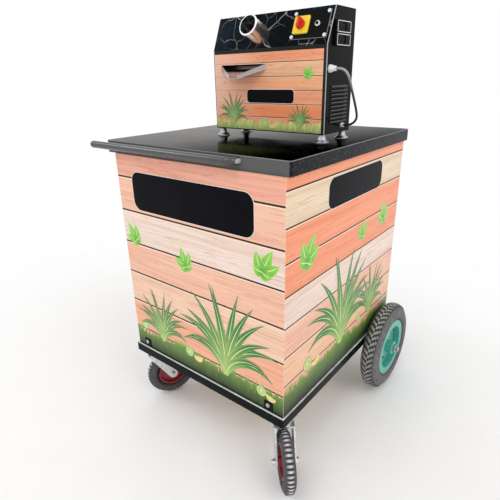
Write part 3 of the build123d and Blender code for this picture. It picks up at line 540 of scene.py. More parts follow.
# Cabinet boards: a front board and two side boards, faced with a glossy printed film of planks
# over a strip of grass, and a plain floor board. The inner faces are bare plywood.
front_low, front_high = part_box("cabinet_front_panel")
right_face_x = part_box("cabinet_right_panel")[1].x
film_depth = 0.0006
fold_highlight_depth = 0.0012
front_joint = front_high.z - 0.784
front_pitch = 0.1178
front_grass = front_high.z - 0.662
front_ragged = 0.022
side_joint = front_high.z - 0.7315
side_pitch = 0.0992
side_grass = front_high.z - 0.648
side_ragged = 0.024
joint_share = 0.048
light_share = 0.035
salmon = tint(243, 180, 158)
coral = tint(248, 184, 154)
peach = tint(248, 199, 174)
cream = tint(247, 210, 184)
beige = tint(244, 225, 213)
straw = tint(240, 219, 190)
orange = tint(252, 164, 126)
apricot = tint(247, 201, 168)
joint_brown = tint(52, 18, 13)
pale_joint_and_fold_highlight = tint(253, 226, 200)
plywood = tint(196, 168, 132)
front_planks = (salmon, coral, cream, peach, beige, peach, salmon, salmon)
side_planks = (salmon, apricot, peach, beige, orange, orange, straw, orange)
grass_greens = (tint(40, 50, 34), tint(78, 102, 52), tint(116, 158, 70), tint(176, 190, 112))
print_light = (1.03, 1.03, 1.03, 1)
print_dark = (0.91, 0.87, 0.84, 1)
print_warm = (0.94, 0.83, 0.77, 1)
year_brown = (0.86, 0.70, 0.62, 1)
blade_dark = (0.72, 0.76, 0.66, 1)
blade_light = (1.2, 1.16, 1.1, 1)
minus = partial(calc, "SUBTRACT")
below = partial(calc, "LESS_THAN")


def drawn_out(run, fine, rise, coarse):
    """A place on a flat print whose run and rise repeat more or less finely."""
    return add("CombineXYZ", {0: times(run, fine), 2: times(rise, coarse)})[0]


def plank_film(name, planks, joint, pitch, greens, grass, fade):
    """Printed film: planks with grain and dark joints, above grass that darkens towards the floor."""
    finish = new_finish(name, Specular_IOR_Level=0.25)
    where = spot(finish)
    run = plus(along(finish, "X"), along(finish, "Y"))
    z = along(finish, "Z")
    level = calc("DIVIDE", minus(z, joint), pitch)
    number = calc("FLOOR", level)
    part = minus(level, number)
    share = calc("DIVIDE", plus(number, 0.5), float(len(planks)))
    stops = [(index / len(planks), colour) for index, colour in enumerate(planks)]
    board = ramp(share, *stops, steps="CONSTANT")

    shifted = plus(run, times(number, 3.7))
    grain = noise(drawn_out(shifted, 3.0, z, 160.0), 1.0, 6.0, 0.65, 0.5)
    streaks = noise(drawn_out(shifted, 1.6, z, 36.0), 1.0, 4.0, 0.6, 0.9)
    fine_lines = ramp(grain, (0.36, print_dark), (0.62, print_light))
    broad_lines = ramp(streaks, (0.44, print_light), (0.72, print_warm))
    board = mixed(1.0, board, fine_lines, "MULTIPLY")
    board = mixed(1.0, board, broad_lines, "MULTIPLY")
    rings = plus(times(z, 60.0), times(streaks, 34.0))
    year_lines = graded(calc("SINE", rings), 0.88, 1.0, 0.0, 0.75)
    board = mixed(year_lines, board, year_brown, "MULTIPLY")
    board = mixed(beyond(part, 1 - light_share), board, pale_joint_and_fold_highlight)
    board = mixed(below(part, joint_share), board, joint_brown)

    swell = noise(drawn_out(run, 5.0, z, 0.0), 1.0)
    blades = noise(drawn_out(run, 80.0, z, 16.0), 1.0, 4.0, 0.6, 1.2)
    ragged = plus(uneven(swell, -fade, fade), uneven(blades, -fade, fade))
    height = plus(ragged, grass)
    cover = graded(minus(height, z), -fade * 0.2, fade * 0.5, 0.0, 1.0)
    depth = graded(z, max(joint, rail_top), grass + fade, 0.0, 1.0)
    lawn = ramp(depth, *zip((0.0, 0.3, 0.75, 1.0), greens))
    blade_tones = ramp(blades, (0.35, blade_dark), (0.65, blade_light))
    lawn = mixed(1.0, lawn, blade_tones, "MULTIPLY")
    return show(
        finish,
        Base_Color=mixed(cover, board, lawn),
        Roughness=uneven(noise(where, 9.0), 0.26, 0.4),
        Normal=relief(noise(where, 320.0, 2.0), 0.06),
    )


def bare_behind(film, behind):
    """Bare board wherever the film doesn't reach."""
    grain = noise(spot(film), 30.0, 6.0)
    over(film, behind, shaded(grain, plywood, 0.85, 1.1))


side_print = (side_planks, side_joint, side_pitch, grass_greens, side_grass, side_ragged)
front_film = plank_film(
    "front_plank_film", front_planks, front_joint, front_pitch, grass_greens, front_grass, front_ragged
)
right_film = plank_film("right_plank_film", *side_print)
left_film = plank_film("left_plank_film", *side_print)
bare_behind(front_film, beyond(along(front_film, "Y"), front_low.y + film_depth))
bare_behind(right_film, below(along(right_film, "X"), right_face_x - film_depth))
bare_behind(left_film, beyond(along(left_film, "X"), film_depth - right_face_x))
# Painted highlight: a pale line down the fold at the front corner of each side film.
for film in (right_film, left_film):
    over(film, below(along(film, "Y"), front_low.y + fold_highlight_depth), pale_joint_and_fold_highlight)
plain_board = enamel("plain_board", plywood, 0.5, peel=200.0, mottle=0.18)
dress(front_film, "cabinet_front_panel")
front_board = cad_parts["cabinet_front_panel"].data
front_board.materials.append(right_film)
front_board.materials.append(left_film)
for face in front_board.polygons:
    if abs(face.normal.x) > 0.9:
        face.material_index = 1 if face.normal.x > 0 else 2
dress(right_film, "cabinet_right_panel")
dress(left_film, "cabinet_left_panel")
dress(plain_board, "cabinet_floor")

# Blank plates: thin glossy black plates with round corners and a white border.
# One is stuck high on the front board, and a smaller one high on the right side board.
front_plate = (0.517, 0.132)
front_plate_place = (-0.0125, front_low.y, front_high.z - 0.117)
front_plate_corner = 0.034
front_plate_border = 0.0016
side_plate = (0.376, 0.096)
side_plate_place = (right_face_x, 0.017, front_high.z - 0.090)
side_plate_corner = 0.030
side_plate_border = 0.0012
blank_plate_depth = 0.001
blank_corner_steps = 8
facing_right = turned(90, "Z") @ facing_front


def pick_all():
    """Go to edit mode with everything selected."""
    bpy.ops.object.mode_set(mode="EDIT")
    bpy.ops.mesh.select_all(action="SELECT")


def rounded_sheet(name, width, height, corner, steps):
    """A flat sheet with round corners on XY, selected all over in edit mode."""
    sheet = start_piece(name, bpy.ops.mesh.primitive_plane_add, (width, height, 1), size=1)
    pick_all()
    bpy.ops.mesh.bevel(offset=corner, segments=steps, affect="VERTICES")
    pick_all()
    return sheet


def face_outwards():
    """Turn every face of a closed piece outwards."""
    pick_all()
    bpy.ops.mesh.normals_make_consistent(inside=False)


def blank_plate(name, width, height, corner, border, place, slot):
    """A bare plate that lies on XY, facing up, until it is set in its place."""
    plate = rounded_sheet(name, width, height, corner, blank_corner_steps)
    raise_faces(blank_plate_depth)
    bpy.ops.mesh.inset(thickness=border)
    face_outwards()
    smoothed(plate, plate_white, plate_black)
    inside = max(filter(faces_up, plate.data.polygons), key=lambda face: face.area)
    inside.material_index = 1
    plate.data.transform(place)
    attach(plate, "cart")


plate_white = enamel("plate_white", tint(240, 238, 232), 0.3, mottle=0.03)
plate_black = enamel("plate_black", tint(14, 13, 19), 0.18, mottle=0.25, shine=0.04)
blank_plate(
    "front_blank_plate", *front_plate, front_plate_corner, front_plate_border,
    placed(*front_plate_place) @ facing_front, "printed_board",
)
blank_plate(
    "right_blank_plate", *side_plate, side_plate_corner, side_plate_border,
    placed(*side_plate_place) @ facing_right, "printed_board",
)

# Printed motifs: fans of arching leaves, citrus slices and sprigs, cut from thin printed vinyl
# and stuck on the film. The leaves lie over each other in a fan, and each has a pale midrib.
# A motif's place on its board is given across, up, turned by degrees and scaled.
vinyl = 0.0002
leaf_rows = 14
leaf_columns = 4
leaf_foot = 0.12
leaf_belly = 0.8
leaf_tip = 0.02
midrib_half = 0.045
outline_from = 0.42
fan_leaf_width = 0.0165
sprig_leaf_width = 0.017
lime_radius = 0.020
lemon_radius = 0.022
slice_corners = 40
rind_share = 0.1
pith_share = 0.2
core_share = 0.1
wall_half = 0.035
lime_segments = 9
lemon_segments = 10
lime_rind = tint(76, 140, 38)
lime_pith = tint(238, 244, 214)
lime_pulp = tint(178, 208, 84)
lemon_rind = tint(236, 190, 40)
lemon_pith = tint(250, 244, 214)
lemon_pulp = tint(244, 214, 92)
fan_leaves = (
    (0.168, -3, -10), (0.170, 5, 14), (0.164, -7, -44), (0.160, 10, 50), (0.150, -13, -84),
    (0.146, 16, 88), (0.128, -19, -112), (0.124, 22, 116), (0.092, -10, 24), (0.096, 9, -28),
    (0.172, 1, -24), (0.166, 7, 34), (0.142, -10, -66), (0.140, 13, 70), (0.108, -16, -92), (0.106, 18, 96),
)
sprig_leaves = ((0.036, 4, 10), (0.029, -50, 26), (0.030, 54, -22), (0.015, -104, 30), (0.015, 108, -30))
front_fans = ((0.115, 0.055, 0, 1.9), (-0.190, 0.062, 4, 1.25))
front_limes = ((-0.055, 0.075, 0, 1.0), (0.262, 0.062, 30, 1.0), (-0.295, 0.095, 0, 0.9))
front_lemons = ((-0.013, 0.070, 12, 1.0), (0.300, 0.056, -14, 0.9))
front_sprigs = ((-0.040, 0.405, 24, 1.9), (0.270, 0.470, -18, 2.2), (-0.285, 0.445, 40, 1.9))
side_fans = ((-0.040, 0.085, 0, 2.1), (0.195, 0.100, -4, 1.25))
side_limes = ((-0.255, 0.120, 0, 1.2), (0.110, 0.115, 0, 0.9))
side_lemons = ((-0.205, 0.112, 10, 1.1),)
side_sprigs = ((-0.280, 0.480, -20, 2.5), (0.262, 0.470, 25, 2.1), (0.080, 0.455, -10, 1.7))


def leaf(name, length, width, start, bend, level):
    """One pointed leaf from the origin, lying on XY, that sets off at an angle from Y and bends over."""
    grid = bpy.ops.mesh.primitive_grid_add
    piece = start_piece(
        name, grid, (width, length, 1), x_subdivisions=leaf_columns, y_subdivisions=leaf_rows, size=1,
        location=(0, length / 2, level),
    )
    reach = Vector((0.0, 0.0, 0.0))
    step = length / leaf_rows
    for row in range(leaf_rows + 1):
        share = row / leaf_rows
        angle = math.radians(start + bend * share)
        centre = (0, share * length, level)
        run = leaf_foot + (1 - leaf_foot) * share
        fullness = max(leaf_tip, math.sin(math.pi * run ** leaf_belly))
        pick(piece, lambda point: point.index // (leaf_columns + 1) == row, "VERT")
        bpy.ops.transform.resize(value=(fullness, 1, 1), center_override=centre)
        bpy.ops.transform.rotate(value=angle, orient_axis="Z", center_override=centre)
        bpy.ops.transform.translate(value=(reach.x, reach.y - share * length, 0))
        reach += Vector((math.sin(angle), math.cos(angle), 0)) * step
    pick_all()
    raise_faces(vinyl)
    face_outwards()
    bpy.ops.object.mode_set(mode="OBJECT")
    return piece


def bunch(name, shapes, width, finish):
    """Leaves that grow from one point, joined in one piece; each has a length, an angle and a bend."""
    leaves = [
        leaf(f"{name}_{number}", length, width, start, bend, number * vinyl * 0.5)
        for number, (length, start, bend) in enumerate(shapes)
    ]
    bpy.ops.object.select_all(action="DESELECT")
    for piece in leaves:
        piece.select_set(True)
    bpy.context.view_layer.objects.active = leaves[0]
    bpy.ops.object.join()
    piece = bpy.context.object
    piece.name = piece.data.name = name
    return smoothed(piece, finish)


def leaf_print(name, foot, tip, rib):
    """Printed leaf: from its foot to its tip in two tones, with a pale midrib, veins and outline."""
    finish = new_finish(name, Roughness=0.35)
    place = spot(finish, "UV")
    split = add("SeparateXYZ", {"Vector": place})
    across = calc("ABSOLUTE", minus(split["X"], 0.5))
    veins = add("Mapping", {"Vector": place, "Scale": (34.0, 3.0, 1.0)})["Vector"]
    tone = plus(times(split["Y"], 0.7), times(noise(veins, 1.0), 0.5))
    blend = ramp(tone, (0.2, foot), (0.75, tip))
    outline = times(beyond(across, outline_from), 0.3)
    blend = mixed(outline, blend, rib)
    return show(finish, Base_Color=mixed(below(across, midrib_half), blend, rib))


def slice_print(name, rind, pith, pulp, segments):
    """Printed citrus slice: rind, pith and juicy segments about the middle of the piece's UV square."""
    finish = new_finish(name, Roughness=0.35)
    place = spot(finish, "UV")
    offset = add("VectorMath", {0: place, 1: (0.5, 0.5, 0.0)}, operation="SUBTRACT")["Vector"]
    split = add("SeparateXYZ", {"Vector": offset})
    radius = times(add("VectorMath", {0: offset}, operation="LENGTH")["Value"], 2.0)
    turn = calc("DIVIDE", calc("ARCTAN2", split["Y"], split["X"]), 2 * math.pi / segments)
    wall = calc("ABSOLUTE", minus(calc("FRACT", turn), 0.5))
    between = beyond(times(minus(wall, 0.5), radius), -wall_half)
    juicy = add("Mapping", {"Vector": place, "Scale": (60.0, 60.0, 1.0)})["Vector"]
    flesh = shaded(noise(juicy, 1.0), pulp, 0.82, 1.18, 0.35, 0.65)
    flesh = mixed(between, flesh, pith)
    flesh = mixed(below(radius, core_share), flesh, pith)
    flesh = mixed(beyond(radius, 1 - pith_share), flesh, pith)
    return show(finish, Base_Color=mixed(beyond(radius, 1 - rind_share), flesh, rind))


def citrus_slice(name, radius, finish, half):
    """A round slice lying on XY, or half of one, its rim raised by a hair."""
    circle = bpy.ops.mesh.primitive_circle_add
    piece = start_piece(name, circle, vertices=slice_corners, radius=radius, fill_type="NGON")
    pick_all()
    if half:
        bpy.ops.mesh.bisect(plane_co=(0, 0, 0), plane_no=(0, 1, 0), clear_outer=True)
        pick_all()
    raise_faces(2 * vinyl)
    bpy.ops.mesh.inset(thickness=radius * rind_share)
    bpy.ops.transform.translate(value=(0, 0, -vinyl * 0.5))
    face_outwards()
    return smoothed(piece, finish)


def on_face(face, across, level, turn, size):
    """The place of a motif on a printed face, turned by some degrees and scaled."""
    return face @ placed(across, level, 0) @ turned(turn, "Z") @ Matrix.Diagonal((size, size, 1, 1))


leaf_green = leaf_print("leaf_green", tint(188, 214, 112), tint(26, 118, 36), tint(224, 240, 190))
mint_green = leaf_print("mint_green", tint(84, 164, 40), tint(134, 212, 60), tint(222, 242, 178))
lime = slice_print("lime_print", lime_rind, lime_pith, lime_pulp, lime_segments)
lemon = slice_print("lemon_print", lemon_rind, lemon_pith, lemon_pulp, lemon_segments)
leaf_fan = bunch("leaf_fan", fan_leaves, fan_leaf_width, leaf_green)
mint_sprig = bunch("mint_sprig", sprig_leaves, sprig_leaf_width, mint_green)
whole_lime = citrus_slice("whole_lime", lime_radius, lime, False)
half_lemon = citrus_slice("half_lemon", lemon_radius, lemon, True)
front_face = placed(0, front_low.y, rail_top) @ facing_front
right_face = placed(right_face_x, 0, rail_top) @ facing_right
left_face = placed(-right_face_x, 0, rail_top) @ turned(-90, "Z") @ facing_front
for motif, name, on_front, on_side in (
    (leaf_fan, "leaf_fan", front_fans, side_fans),
    (whole_lime, "lime_slice", front_limes, side_limes),
    (half_lemon, "lemon_slice", front_lemons, side_lemons),
    (mint_sprig, "mint_sprig", front_sprigs, side_sprigs),
):
    places = [on_face(front_face, *place) for place in on_front]
    places += [on_face(face, *place) for face in (right_face, left_face) for place in on_side]
    set_copies(motif, name, places, "cart")

# Back frame and door: plain laminated board, hung on two plated butt hinges.
# Small raised-head screws hold the hinge leaves, and the pull is a bent stainless bar.
laminate_grey = tint(206, 198, 184)
door_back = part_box("back_door")[1].y
hinge_leaf = 0.002
hinge_half = 0.0375
hinge_screw_radius = 0.0032
hinge_screw_height = 0.0009
hinge_screw_inset = 0.0095
hinge_screw_pitch = 0.027
small_head = 16


def laminate(name, colour):
    """Laminated board with a faint upright grain."""
    finish = new_finish(name)
    where = spot(finish)
    drawn = add("Mapping", {"Vector": where, "Scale": (140.0, 140.0, 4.0)})["Vector"]
    grain = noise(drawn, 1.0, 5.0, 0.6, 0.4)
    return show(
        finish,
        Base_Color=shaded(grain, colour, 0.8, 1.08, 0.32, 0.64),
        Roughness=uneven(noise(where, 10.0), 0.38, 0.52),
        Normal=relief(grain, 0.1),
    )


facing_back = turned(-90, "X")
door_laminate = laminate("door_laminate", laminate_grey)
pull_steel = brushed("pull_steel", tint(205, 205, 206), 0.25, (60.0, 60.0, 900.0))
dress(door_laminate, "back_door", "cabinet_back_frame")
dress(zinc, "door_hinges", "door_hinge_leaves")
dress(pull_steel, "door_pull")
for node, body, end in (("door_hinges", "cart", 0), ("door_hinge_leaves", "back_door", 1)):
    low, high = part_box(node)
    x = (low.x + hinge_screw_inset, high.x - hinge_screw_inset)[end]
    places = [
        placed(x, door_back + hinge_leaf, hinge + hinge_screw_pitch * step) @ facing_back
        for hinge in (low.z + hinge_half, high.z - hinge_half)
        for step in (-1, 0, 1)
    ]
    set_screws(
        f"{node}_screw", hinge_screw_radius, hinge_screw_height, zinc, places, body,
        corners=small_head,
    )

# Countertop: a thick board faced with dark mirror film, with a painted dark reflection towards the right
# and a painted highlight along its arris. The front edge is a smooth grey band, and the other edges show
# the speckled board.
counter_low, counter_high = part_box("countertop")
counter_grey = tint(58, 56, 55)
counter_band = tint(98, 98, 99)
counter_edge = tint(34, 35, 38)
counter_speck = tint(92, 93, 96)
counter_arris_highlight = tint(136, 136, 135)
counter_sheen = tint(168, 165, 163)
counter_dark_reflection_tint = tint(40, 40, 41)
arris_highlight_depth = 0.0018
counter_film_depth = 0.0002
band_depth = 0.001
dark_reflection_from = -0.15


def counter_facing(name):
    """Mirror film on the top, painted darker towards the right as a painted reflection, a painted highlight
    on the arris, and the banded or speckled board around it.
    """
    finish = new_finish(name, Specular_IOR_Level=0.06)
    where = spot(finish)
    height = along(finish, "Z")
    # Painted reflection: the film darkens towards the right, in colour and in its sheen.
    painted_dark_reflection = graded(along(finish, "X"), dark_reflection_from, counter_high.x, 0.0, 1.0)
    film = beyond(height, counter_high.z - counter_film_depth)
    at_edge = below(height, counter_high.z - arris_highlight_depth)
    in_front = below(along(finish, "Y"), counter_low.y + band_depth)
    top = shaded(noise(where, 3.0, 5.0), counter_grey, 0.8, 1.3)
    top = mixed(painted_dark_reflection, top, toned(counter_grey, 0.4))
    specks = ramp(noise(where, 240.0, 2.0), (0.56, counter_edge), (0.74, counter_speck))
    edge = mixed(in_front, specks, counter_band)
    return show(
        finish,
        Base_Color=mixed(at_edge, mixed(film, counter_arris_highlight, top), edge),
        Metallic=film,
        Specular_Tint=mixed(painted_dark_reflection, counter_sheen, counter_dark_reflection_tint),
        Roughness=uneven(noise(where, 14.0), 0.05, 0.16),
        Normal=relief(noise(where, 90.0), 0.02, 0.0004),
    )


counter_laminate = counter_facing("counter_laminate")
dress(counter_laminate, "countertop")

# Push handle: a bent steel tube in black gloss, welded to the counter's edge and to one post.
# On the bend at its right end the gloss is worn through to the steel.
handle_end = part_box("push_handle")[1].x
handle_worn_depth = 0.002
bare_steel_and_highlight = tint(186, 188, 188)
handle_enamel = enamel("handle_enamel", tint(44, 45, 47), 0.18, mottle=0.3, shine=0.85)
worn_bend = beyond(along(handle_enamel, "X"), handle_end - handle_worn_depth)
over(handle_enamel, worn_bend, bare_steel_and_highlight)
dress(handle_enamel, "push_handle")

# Mill housing: a folded sheet-steel box in black gloss on four turned feet.
# The hood wears a black marble film, and the front panel the printed planks below a black strip.
mill_low, mill_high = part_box("machine_front_panel")
mill_back_low, mill_back_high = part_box("machine_back_panel")
hood_low, hood_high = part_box("machine_hood")
side_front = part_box("machine_right_side")[0].y
hood_rise = hood_high.z - hood_low.z
hood_setback = 0.040
side_sheet = 0.002
louvre_skin = 0.0022
edge_highlight_width = 0.0016
strip_height = 0.011
post_width = 0.009
mill_joint = mill_low.z - 0.0005
mill_pitch = 0.0400
mill_grass = mill_low.z + 0.027
mill_ragged = 0.010
faded_width = 0.2
faded_above = mill_low.z + 0.038
mill_gloss = tint(11, 12, 13)
louvre_highlight_grey = tint(84, 85, 86)
fold_highlight_grey = tint(206, 200, 196)
mill_orange = tint(255, 158, 106)
mill_salmon = tint(253, 174, 134)
mill_peach = tint(254, 186, 140)
mill_beige = tint(250, 200, 160)
mill_pale = tint(250, 204, 182)
mill_planks = (mill_salmon, mill_orange, mill_salmon, mill_peach, mill_beige, mill_salmon, mill_orange)
mill_greens = (tint(158, 172, 112), tint(190, 208, 126), tint(214, 228, 148), tint(232, 228, 178))
marble_black = tint(6, 10, 15)
marble_blue = tint(14, 30, 46)
marble_vein = tint(196, 196, 190)
marble_veins = ((6.5, 0.014, 1.0), (13.0, 0.014, 0.5))
panel_screw_radius = 0.0035
panel_screw_height = 0.0016
panel_screws = (
    (-0.108, 0.146), (-0.106, 0.014), (0.033, 0.214), (-0.053, 0.200), (0.223, 0.113), (0.231, 0.004),
)
back_screw_inset = 0.012
back_screw_margin = 0.014
mill_plate = (0.182, 0.042)
mill_plate_place = (0.081, mill_low.y, mill_low.z + 0.103)
mill_plate_corner = 0.012
mill_plate_border = 0.0012
mill_motifs = (
    (leaf_fan, "mill_leaf_fan", ((-0.070, 0.014, 0, 0.62), (0.192, 0.014, 0, 0.42))),
    (whole_lime, "mill_lime_slice", ((0.062, 0.024, 0, 0.7),)),
    (half_lemon, "mill_lemon_slice", ((0.092, 0.020, 10, 0.6),)),
    (mint_sprig, "mill_mint_sprig", ((0.215, 0.160, -20, 0.9),)),
)


def marble(name):
    """Film of black marble: pale veins that cross, over black with blue clouds."""
    finish = new_finish(name, Specular_IOR_Level=0.04)
    where = spot(finish)
    clouds = noise(where, 7.0, 5.0)
    base = ramp(clouds, (0.42, marble_black), (0.62, marble_blue))
    wander = add("TexNoise", {"Vector": where, "Scale": 11.0, "Detail": 3.0})["Color"]
    sway = {0: wander, 1: (0.05, 0.05, 0.05), 2: where}
    bent = add("VectorMath", sway, operation="MULTIPLY_ADD")["Vector"]
    for scale, width, strength in marble_veins:
        cells = {"Vector": bent, "Scale": scale}
        crack = add("TexVoronoi", cells, feature="DISTANCE_TO_EDGE")["Distance"]
        line = graded(crack, 0.0, width, strength, 0.0)
        gaps = uneven(noise(where, scale * 1.6), -0.3, 1.2)
        base = mixed(times(line, gaps), base, marble_vein)
    return show(finish, Base_Color=base, Roughness=uneven(clouds, 0.1, 0.2))


mill_black = enamel("mill_black", mill_gloss, 0.2, mottle=0.2, shine=0.04)
side_black = enamel("mill_side_black", mill_gloss, 0.2, mottle=0.2, shine=0.04)
# Painted highlights: pale lines on the louvre lips and down the front edge of the side plate.
louvre_lip_highlight = beyond(along(side_black, "X"), mill_high.x + side_sheet + louvre_skin)
over(side_black, louvre_lip_highlight, louvre_highlight_grey)
above_bend = calc("MAXIMUM", minus(along(side_black, "Z"), hood_low.z), 0.0)
set_back = times(above_bend, hood_setback / hood_rise)
from_front = minus(along(side_black, "Y"), set_back)
over(side_black, below(from_front, side_front + edge_highlight_width), bare_steel_and_highlight)
mill_film = plank_film(
    "mill_plank_film", mill_planks, mill_joint, mill_pitch, mill_greens, mill_grass, mill_ragged
)
bare_behind(mill_film, beyond(along(mill_film, "Y"), mill_low.y + film_depth))
mill_x = along(mill_film, "X")
mill_z = along(mill_film, "Z")
faded = graded(mill_x, mill_low.x, mill_low.x + faded_width, 0.75, 0.0)
over(mill_film, times(faded, beyond(mill_z, faded_above)), mill_pale)
strip = beyond(mill_z, mill_high.z - strip_height)
post = beyond(mill_x, mill_high.x - post_width)
over(mill_film, calc("MAXIMUM", strip, post), mill_gloss)
# Painted highlight: a pale line down the left fold of the front panel.
over(mill_film, below(mill_x, mill_low.x + edge_highlight_width), fold_highlight_grey)
hood_marble = marble("hood_marble")
foot_metal = plated("foot_metal", zinc_grey, 0.45)
dress(mill_black, "machine_base", "machine_left_side", "machine_back_panel")
dress(side_black, "machine_right_side")
dress(mill_film, "machine_front_panel")
dress(hood_marble, "machine_hood")
dress(foot_metal, "machine_feet")
front_places = [placed(x, mill_low.y, mill_low.z + rise) @ facing_front for x, rise in panel_screws]
back_places = [
    placed(x, mill_back_high.y, z) @ facing_back
    for x in (mill_back_low.x + back_screw_inset, mill_back_high.x - back_screw_inset)
    for z in (mill_back_low.z + back_screw_margin, mill_back_high.z - back_screw_margin)
]
for name, places in (("panel_screw", front_places), ("mill_back_screw", back_places)):
    set_screws(
        name, panel_screw_radius, panel_screw_height, zinc, places, "cart", corners=small_head
    )
mill_face = placed(0, mill_low.y, mill_low.z) @ facing_front
for motif, name, on_mill in mill_motifs:
    set_copies(motif, name, [on_face(mill_face, *place) for place in on_mill], "cart")
    bpy.data.objects.remove(motif)
blank_plate(
    "mill_blank_plate", *mill_plate, mill_plate_corner, mill_plate_border,
    placed(*mill_plate_place) @ facing_front, "mill_print",
)

# Rollers and their drive: three fluted stainless rollers in bronze bushes between two plates.
# Steel gears tie them together, and a finned motor turns the top one through a cast gearbox.
roller_steel = brushed("roller_steel", tint(196, 197, 200), 0.26, (8.0, 500.0, 500.0))
gear_steel = brushed("gear_steel", tint(140, 140, 144), 0.35, (500.0, 60.0, 60.0))
bronze = brushed("bush_bronze", tint(176, 132, 74), 0.35, (300.0, 60.0, 60.0))
casting = enamel("grey_casting", tint(96, 102, 108), 0.5, peel=180.0, mottle=0.2)
dress(roller_steel, "roller_top", "roller_front", "roller_back", "bearing_plates")
dress(gear_steel, "roller_gear_top", "roller_gear_front", "roller_gear_back")
dress(bronze, "roller_bushes")
dress(casting, "gearbox", "motor")

# Feed chute, juice tray and spout: folded and rolled stainless sheet with a satin finish.
# The chute is welded square to the hood, and the spout hangs under the slot in the front panel.
# Painted light and shade: the chute's stainless is a lighter copy, and the tray's and spout's a darker
# copy, of one steel.
lit_chute_steel = brushed("lit_chute_steel", tint(236, 236, 236), 0.26, (420.0, 30.0, 30.0))
shaded_tray_steel = brushed("shaded_tray_steel", tint(174, 165, 163), 0.14, (20.0, 420.0, 420.0))
dress(lit_chute_steel, "feed_chute")
dress(shaded_tray_steel, "juice_tray", "juice_spout")

# Controls: a black plate on the hood with a yellow switch plate, a red rotary knob and a button.
# White capped screws hold the plate at its corners.
control_low, control_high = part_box("control_plate")
control_half_width = (control_high.x - control_low.x) / 2
control_half_height = 0.040
cap_inset = 0.007
cap_radius = 0.0052
cap_height = 0.003
cap_seat = 0.001
right_highlight_width = 0.0018
low_highlight_height = 0.0022
control_black = enamel("control_black", tint(14, 14, 15), 0.25, mottle=0.2, shine=0.05)
switch_yellow = enamel("switch_yellow", tint(244, 214, 44), 0.3, mottle=0.08)
knob_red = enamel("knob_red", tint(214, 40, 36), 0.28, mottle=0.1)
cap_white = enamel("cap_white", tint(238, 238, 236), 0.3, mottle=0.04)
# Painted highlights: pale lines along the right and lower edges of the black plate.
right_edge_highlight = beyond(along(control_black, "X"), control_high.x - right_highlight_width)
low_edge_highlight = below(along(control_black, "Z"), control_low.z + low_highlight_height)
over(control_black, calc("MAXIMUM", right_edge_highlight, low_edge_highlight), tint(122, 124, 124))
dress(control_black, "control_plate", "push_button")
dress(switch_yellow, "switch_plate")
dress(knob_red, "switch_knob")
dress(cap_white, "button_bezel")
hood_tilt = math.degrees(math.atan2(hood_rise, hood_setback))
on_plate = placed(*middle("control_plate")) @ turned(hood_tilt, "X")
cap_places = [
    on_plate @ placed(x * (control_half_width - cap_inset), y * (control_half_height - cap_inset), cap_seat)
    for x in (-1, 1)
    for y in (-1, 1)
]
set_screws("cap_screw", cap_radius, cap_height, cap_white, cap_places, "cart")

# Socket unit, gland and grommet: moulded fittings screwed to the right side plate.
# A pale frame runs round each of the two socket modules.
socket_low, socket_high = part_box("socket_plate")
module_width = 0.078
module_height = 0.029
module_corner = 0.004
module_line = 0.0016
module_rise = 0.0008
module_levels = (0.25, 0.75)
module_corner_steps = 4
socket_black = enamel("socket_black", tint(13, 13, 15), 0.3, mottle=0.2, shine=0.05)
dress(socket_black, "socket_plate")
dress(cap_white, "cable_glands")
for number, share in enumerate(module_levels, 1):
    module = rounded_sheet(
        f"socket_frame_{number}", module_width, module_height, module_corner, module_corner_steps
    )
    bpy.ops.mesh.inset(thickness=module_line)
    bpy.ops.mesh.delete(type="FACE")
    pick_all()
    raise_faces(module_rise)
    face_outwards()
    smoothed(module, cap_white)
    level = socket_low.z + (socket_high.z - socket_low.z) * share
    module.data.transform(placed(socket_high.x, middle("socket_plate").y, level) @ facing_right)
    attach(module, "cart")

# Power cable: a round rubber-sheathed lead that leaves the gland, bows out past the louvres
# and goes back into the housing through the grommet. It is stiff enough to stand off the plate.
cable_radius = 0.0035
cable_highlight_start = 1.19
cable_highlight_full = 1.25
cable_route = [
    (0.298, -0.077, 1.258),
    (0.316, -0.077, 1.258),
    (0.331, -0.077, 1.249),
    (0.340, -0.075, 1.233),
    (0.341, -0.062, 1.206),
    (0.339, -0.038, 1.177),
    (0.336, -0.014, 1.149),
    (0.332, 0.007, 1.121),
    (0.321, 0.012, 1.106),
    (0.304, 0.012, 1.097),
    (0.286, 0.012, 1.097),
]
cable_line = bpy.data.curves.new("mill_lead", "CURVE")
cable_line.dimensions = "3D"
spline = cable_line.splines.new("NURBS")
spline.points.add(len(cable_route) - 1)
for point, place in zip(spline.points, cable_route):
    point.co = (*place, 1.0)
spline.order_u = 3
spline.use_endpoint_u = True
cable_line.resolution_u = 12
cable_line.bevel_depth = cable_radius
cable_line.bevel_resolution = 6
cable_line.use_fill_caps = True
mill_lead = bpy.data.objects.new("mill_lead", cable_line)
bpy.context.collection.objects.link(mill_lead)
lead_rubber = enamel("lead_rubber", tint(44, 46, 48), 0.3, mottle=0.1)
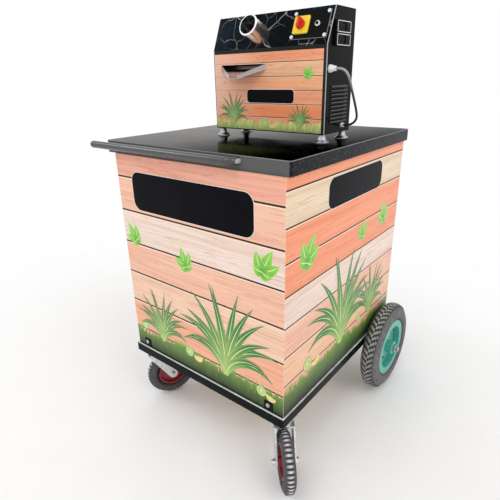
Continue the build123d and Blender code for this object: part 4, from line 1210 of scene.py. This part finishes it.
# Painted highlight: the lead is pale towards its top end and dark below.
lead_painted_highlight = graded(along(lead_rubber, "Z"), cable_highlight_start, cable_highlight_full, 0.0, 1.0)
over(lead_rubber, lead_painted_highlight, tint(160, 162, 164))
cable_line.materials.append(lead_rubber)
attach(mill_lead, "cart")
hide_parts("power_cable")

# Floor, light and camera: a plain pale floor under soft studio light, seen as in the photograph.
# The camera stands in front and to the right of the cart, above the counter.
floor_size = 60
floor_white = tint(252, 252, 252)
sky_light = 0.74
sky_seen = 1.0
studio_lamps = (
    ("front_lamp", (-0.15, -0.7, 1.3), 40, 0.55),
    ("side_lamp", (1.0, -0.1, 0.9), 40, 0.5),
    ("highlight_lamp", (-0.77, -0.36, 0.53), 14, 0.2),
)
camera_place = (0.9245, -1.2479, 1.2398)
camera_azimuth = 39.03
camera_elevation = 21.84
camera_roll = -1.18
camera_lens = 31.05
floor = start_piece("studio_floor", bpy.ops.mesh.primitive_plane_add, size=floor_size)
floor_paint = enamel("floor_paint", floor_white, 0.7, mottle=0.01)
floor.data.materials.append(floor_paint)

world = bpy.data.worlds.new("studio")
bpy.context.scene.world = world
world.use_nodes = True
sky = world.node_tree.nodes["Background"]
ray = world.node_tree.nodes.new("ShaderNodeLightPath").outputs
seen = plus(ray["Is Camera Ray"], ray["Is Glossy Ray"])
seen = plus(seen, ray["Is Transmission Ray"])
feed(sky.inputs["Color"], (1.0, 1.0, 1.0, 1.0))
feed(sky.inputs["Strength"], graded(seen, 0.0, 1.0, sky_light, sky_seen))

for name, direction, spread, power in studio_lamps:
    lamp = bpy.data.lights.new(name, "SUN")
    lamp.angle = math.radians(spread)
    lamp.energy = power
    lamp_object = bpy.data.objects.new(name, lamp)
    bpy.context.collection.objects.link(lamp_object)
    lamp_object.rotation_euler = Vector(direction).to_track_quat("Z", "Y").to_euler()

lens = bpy.data.cameras.new("photo_camera")
lens.lens = camera_lens
camera = bpy.data.objects.new("photo_camera", lens)
bpy.context.collection.objects.link(camera)
aim = turned(camera_azimuth, "Z") @ turned(90 - camera_elevation, "X") @ turned(camera_roll, "Z")
camera.matrix_world = placed(*camera_place) @ aim
bpy.context.scene.camera = camera
bpy.context.scene.view_settings.view_transform = "Standard"
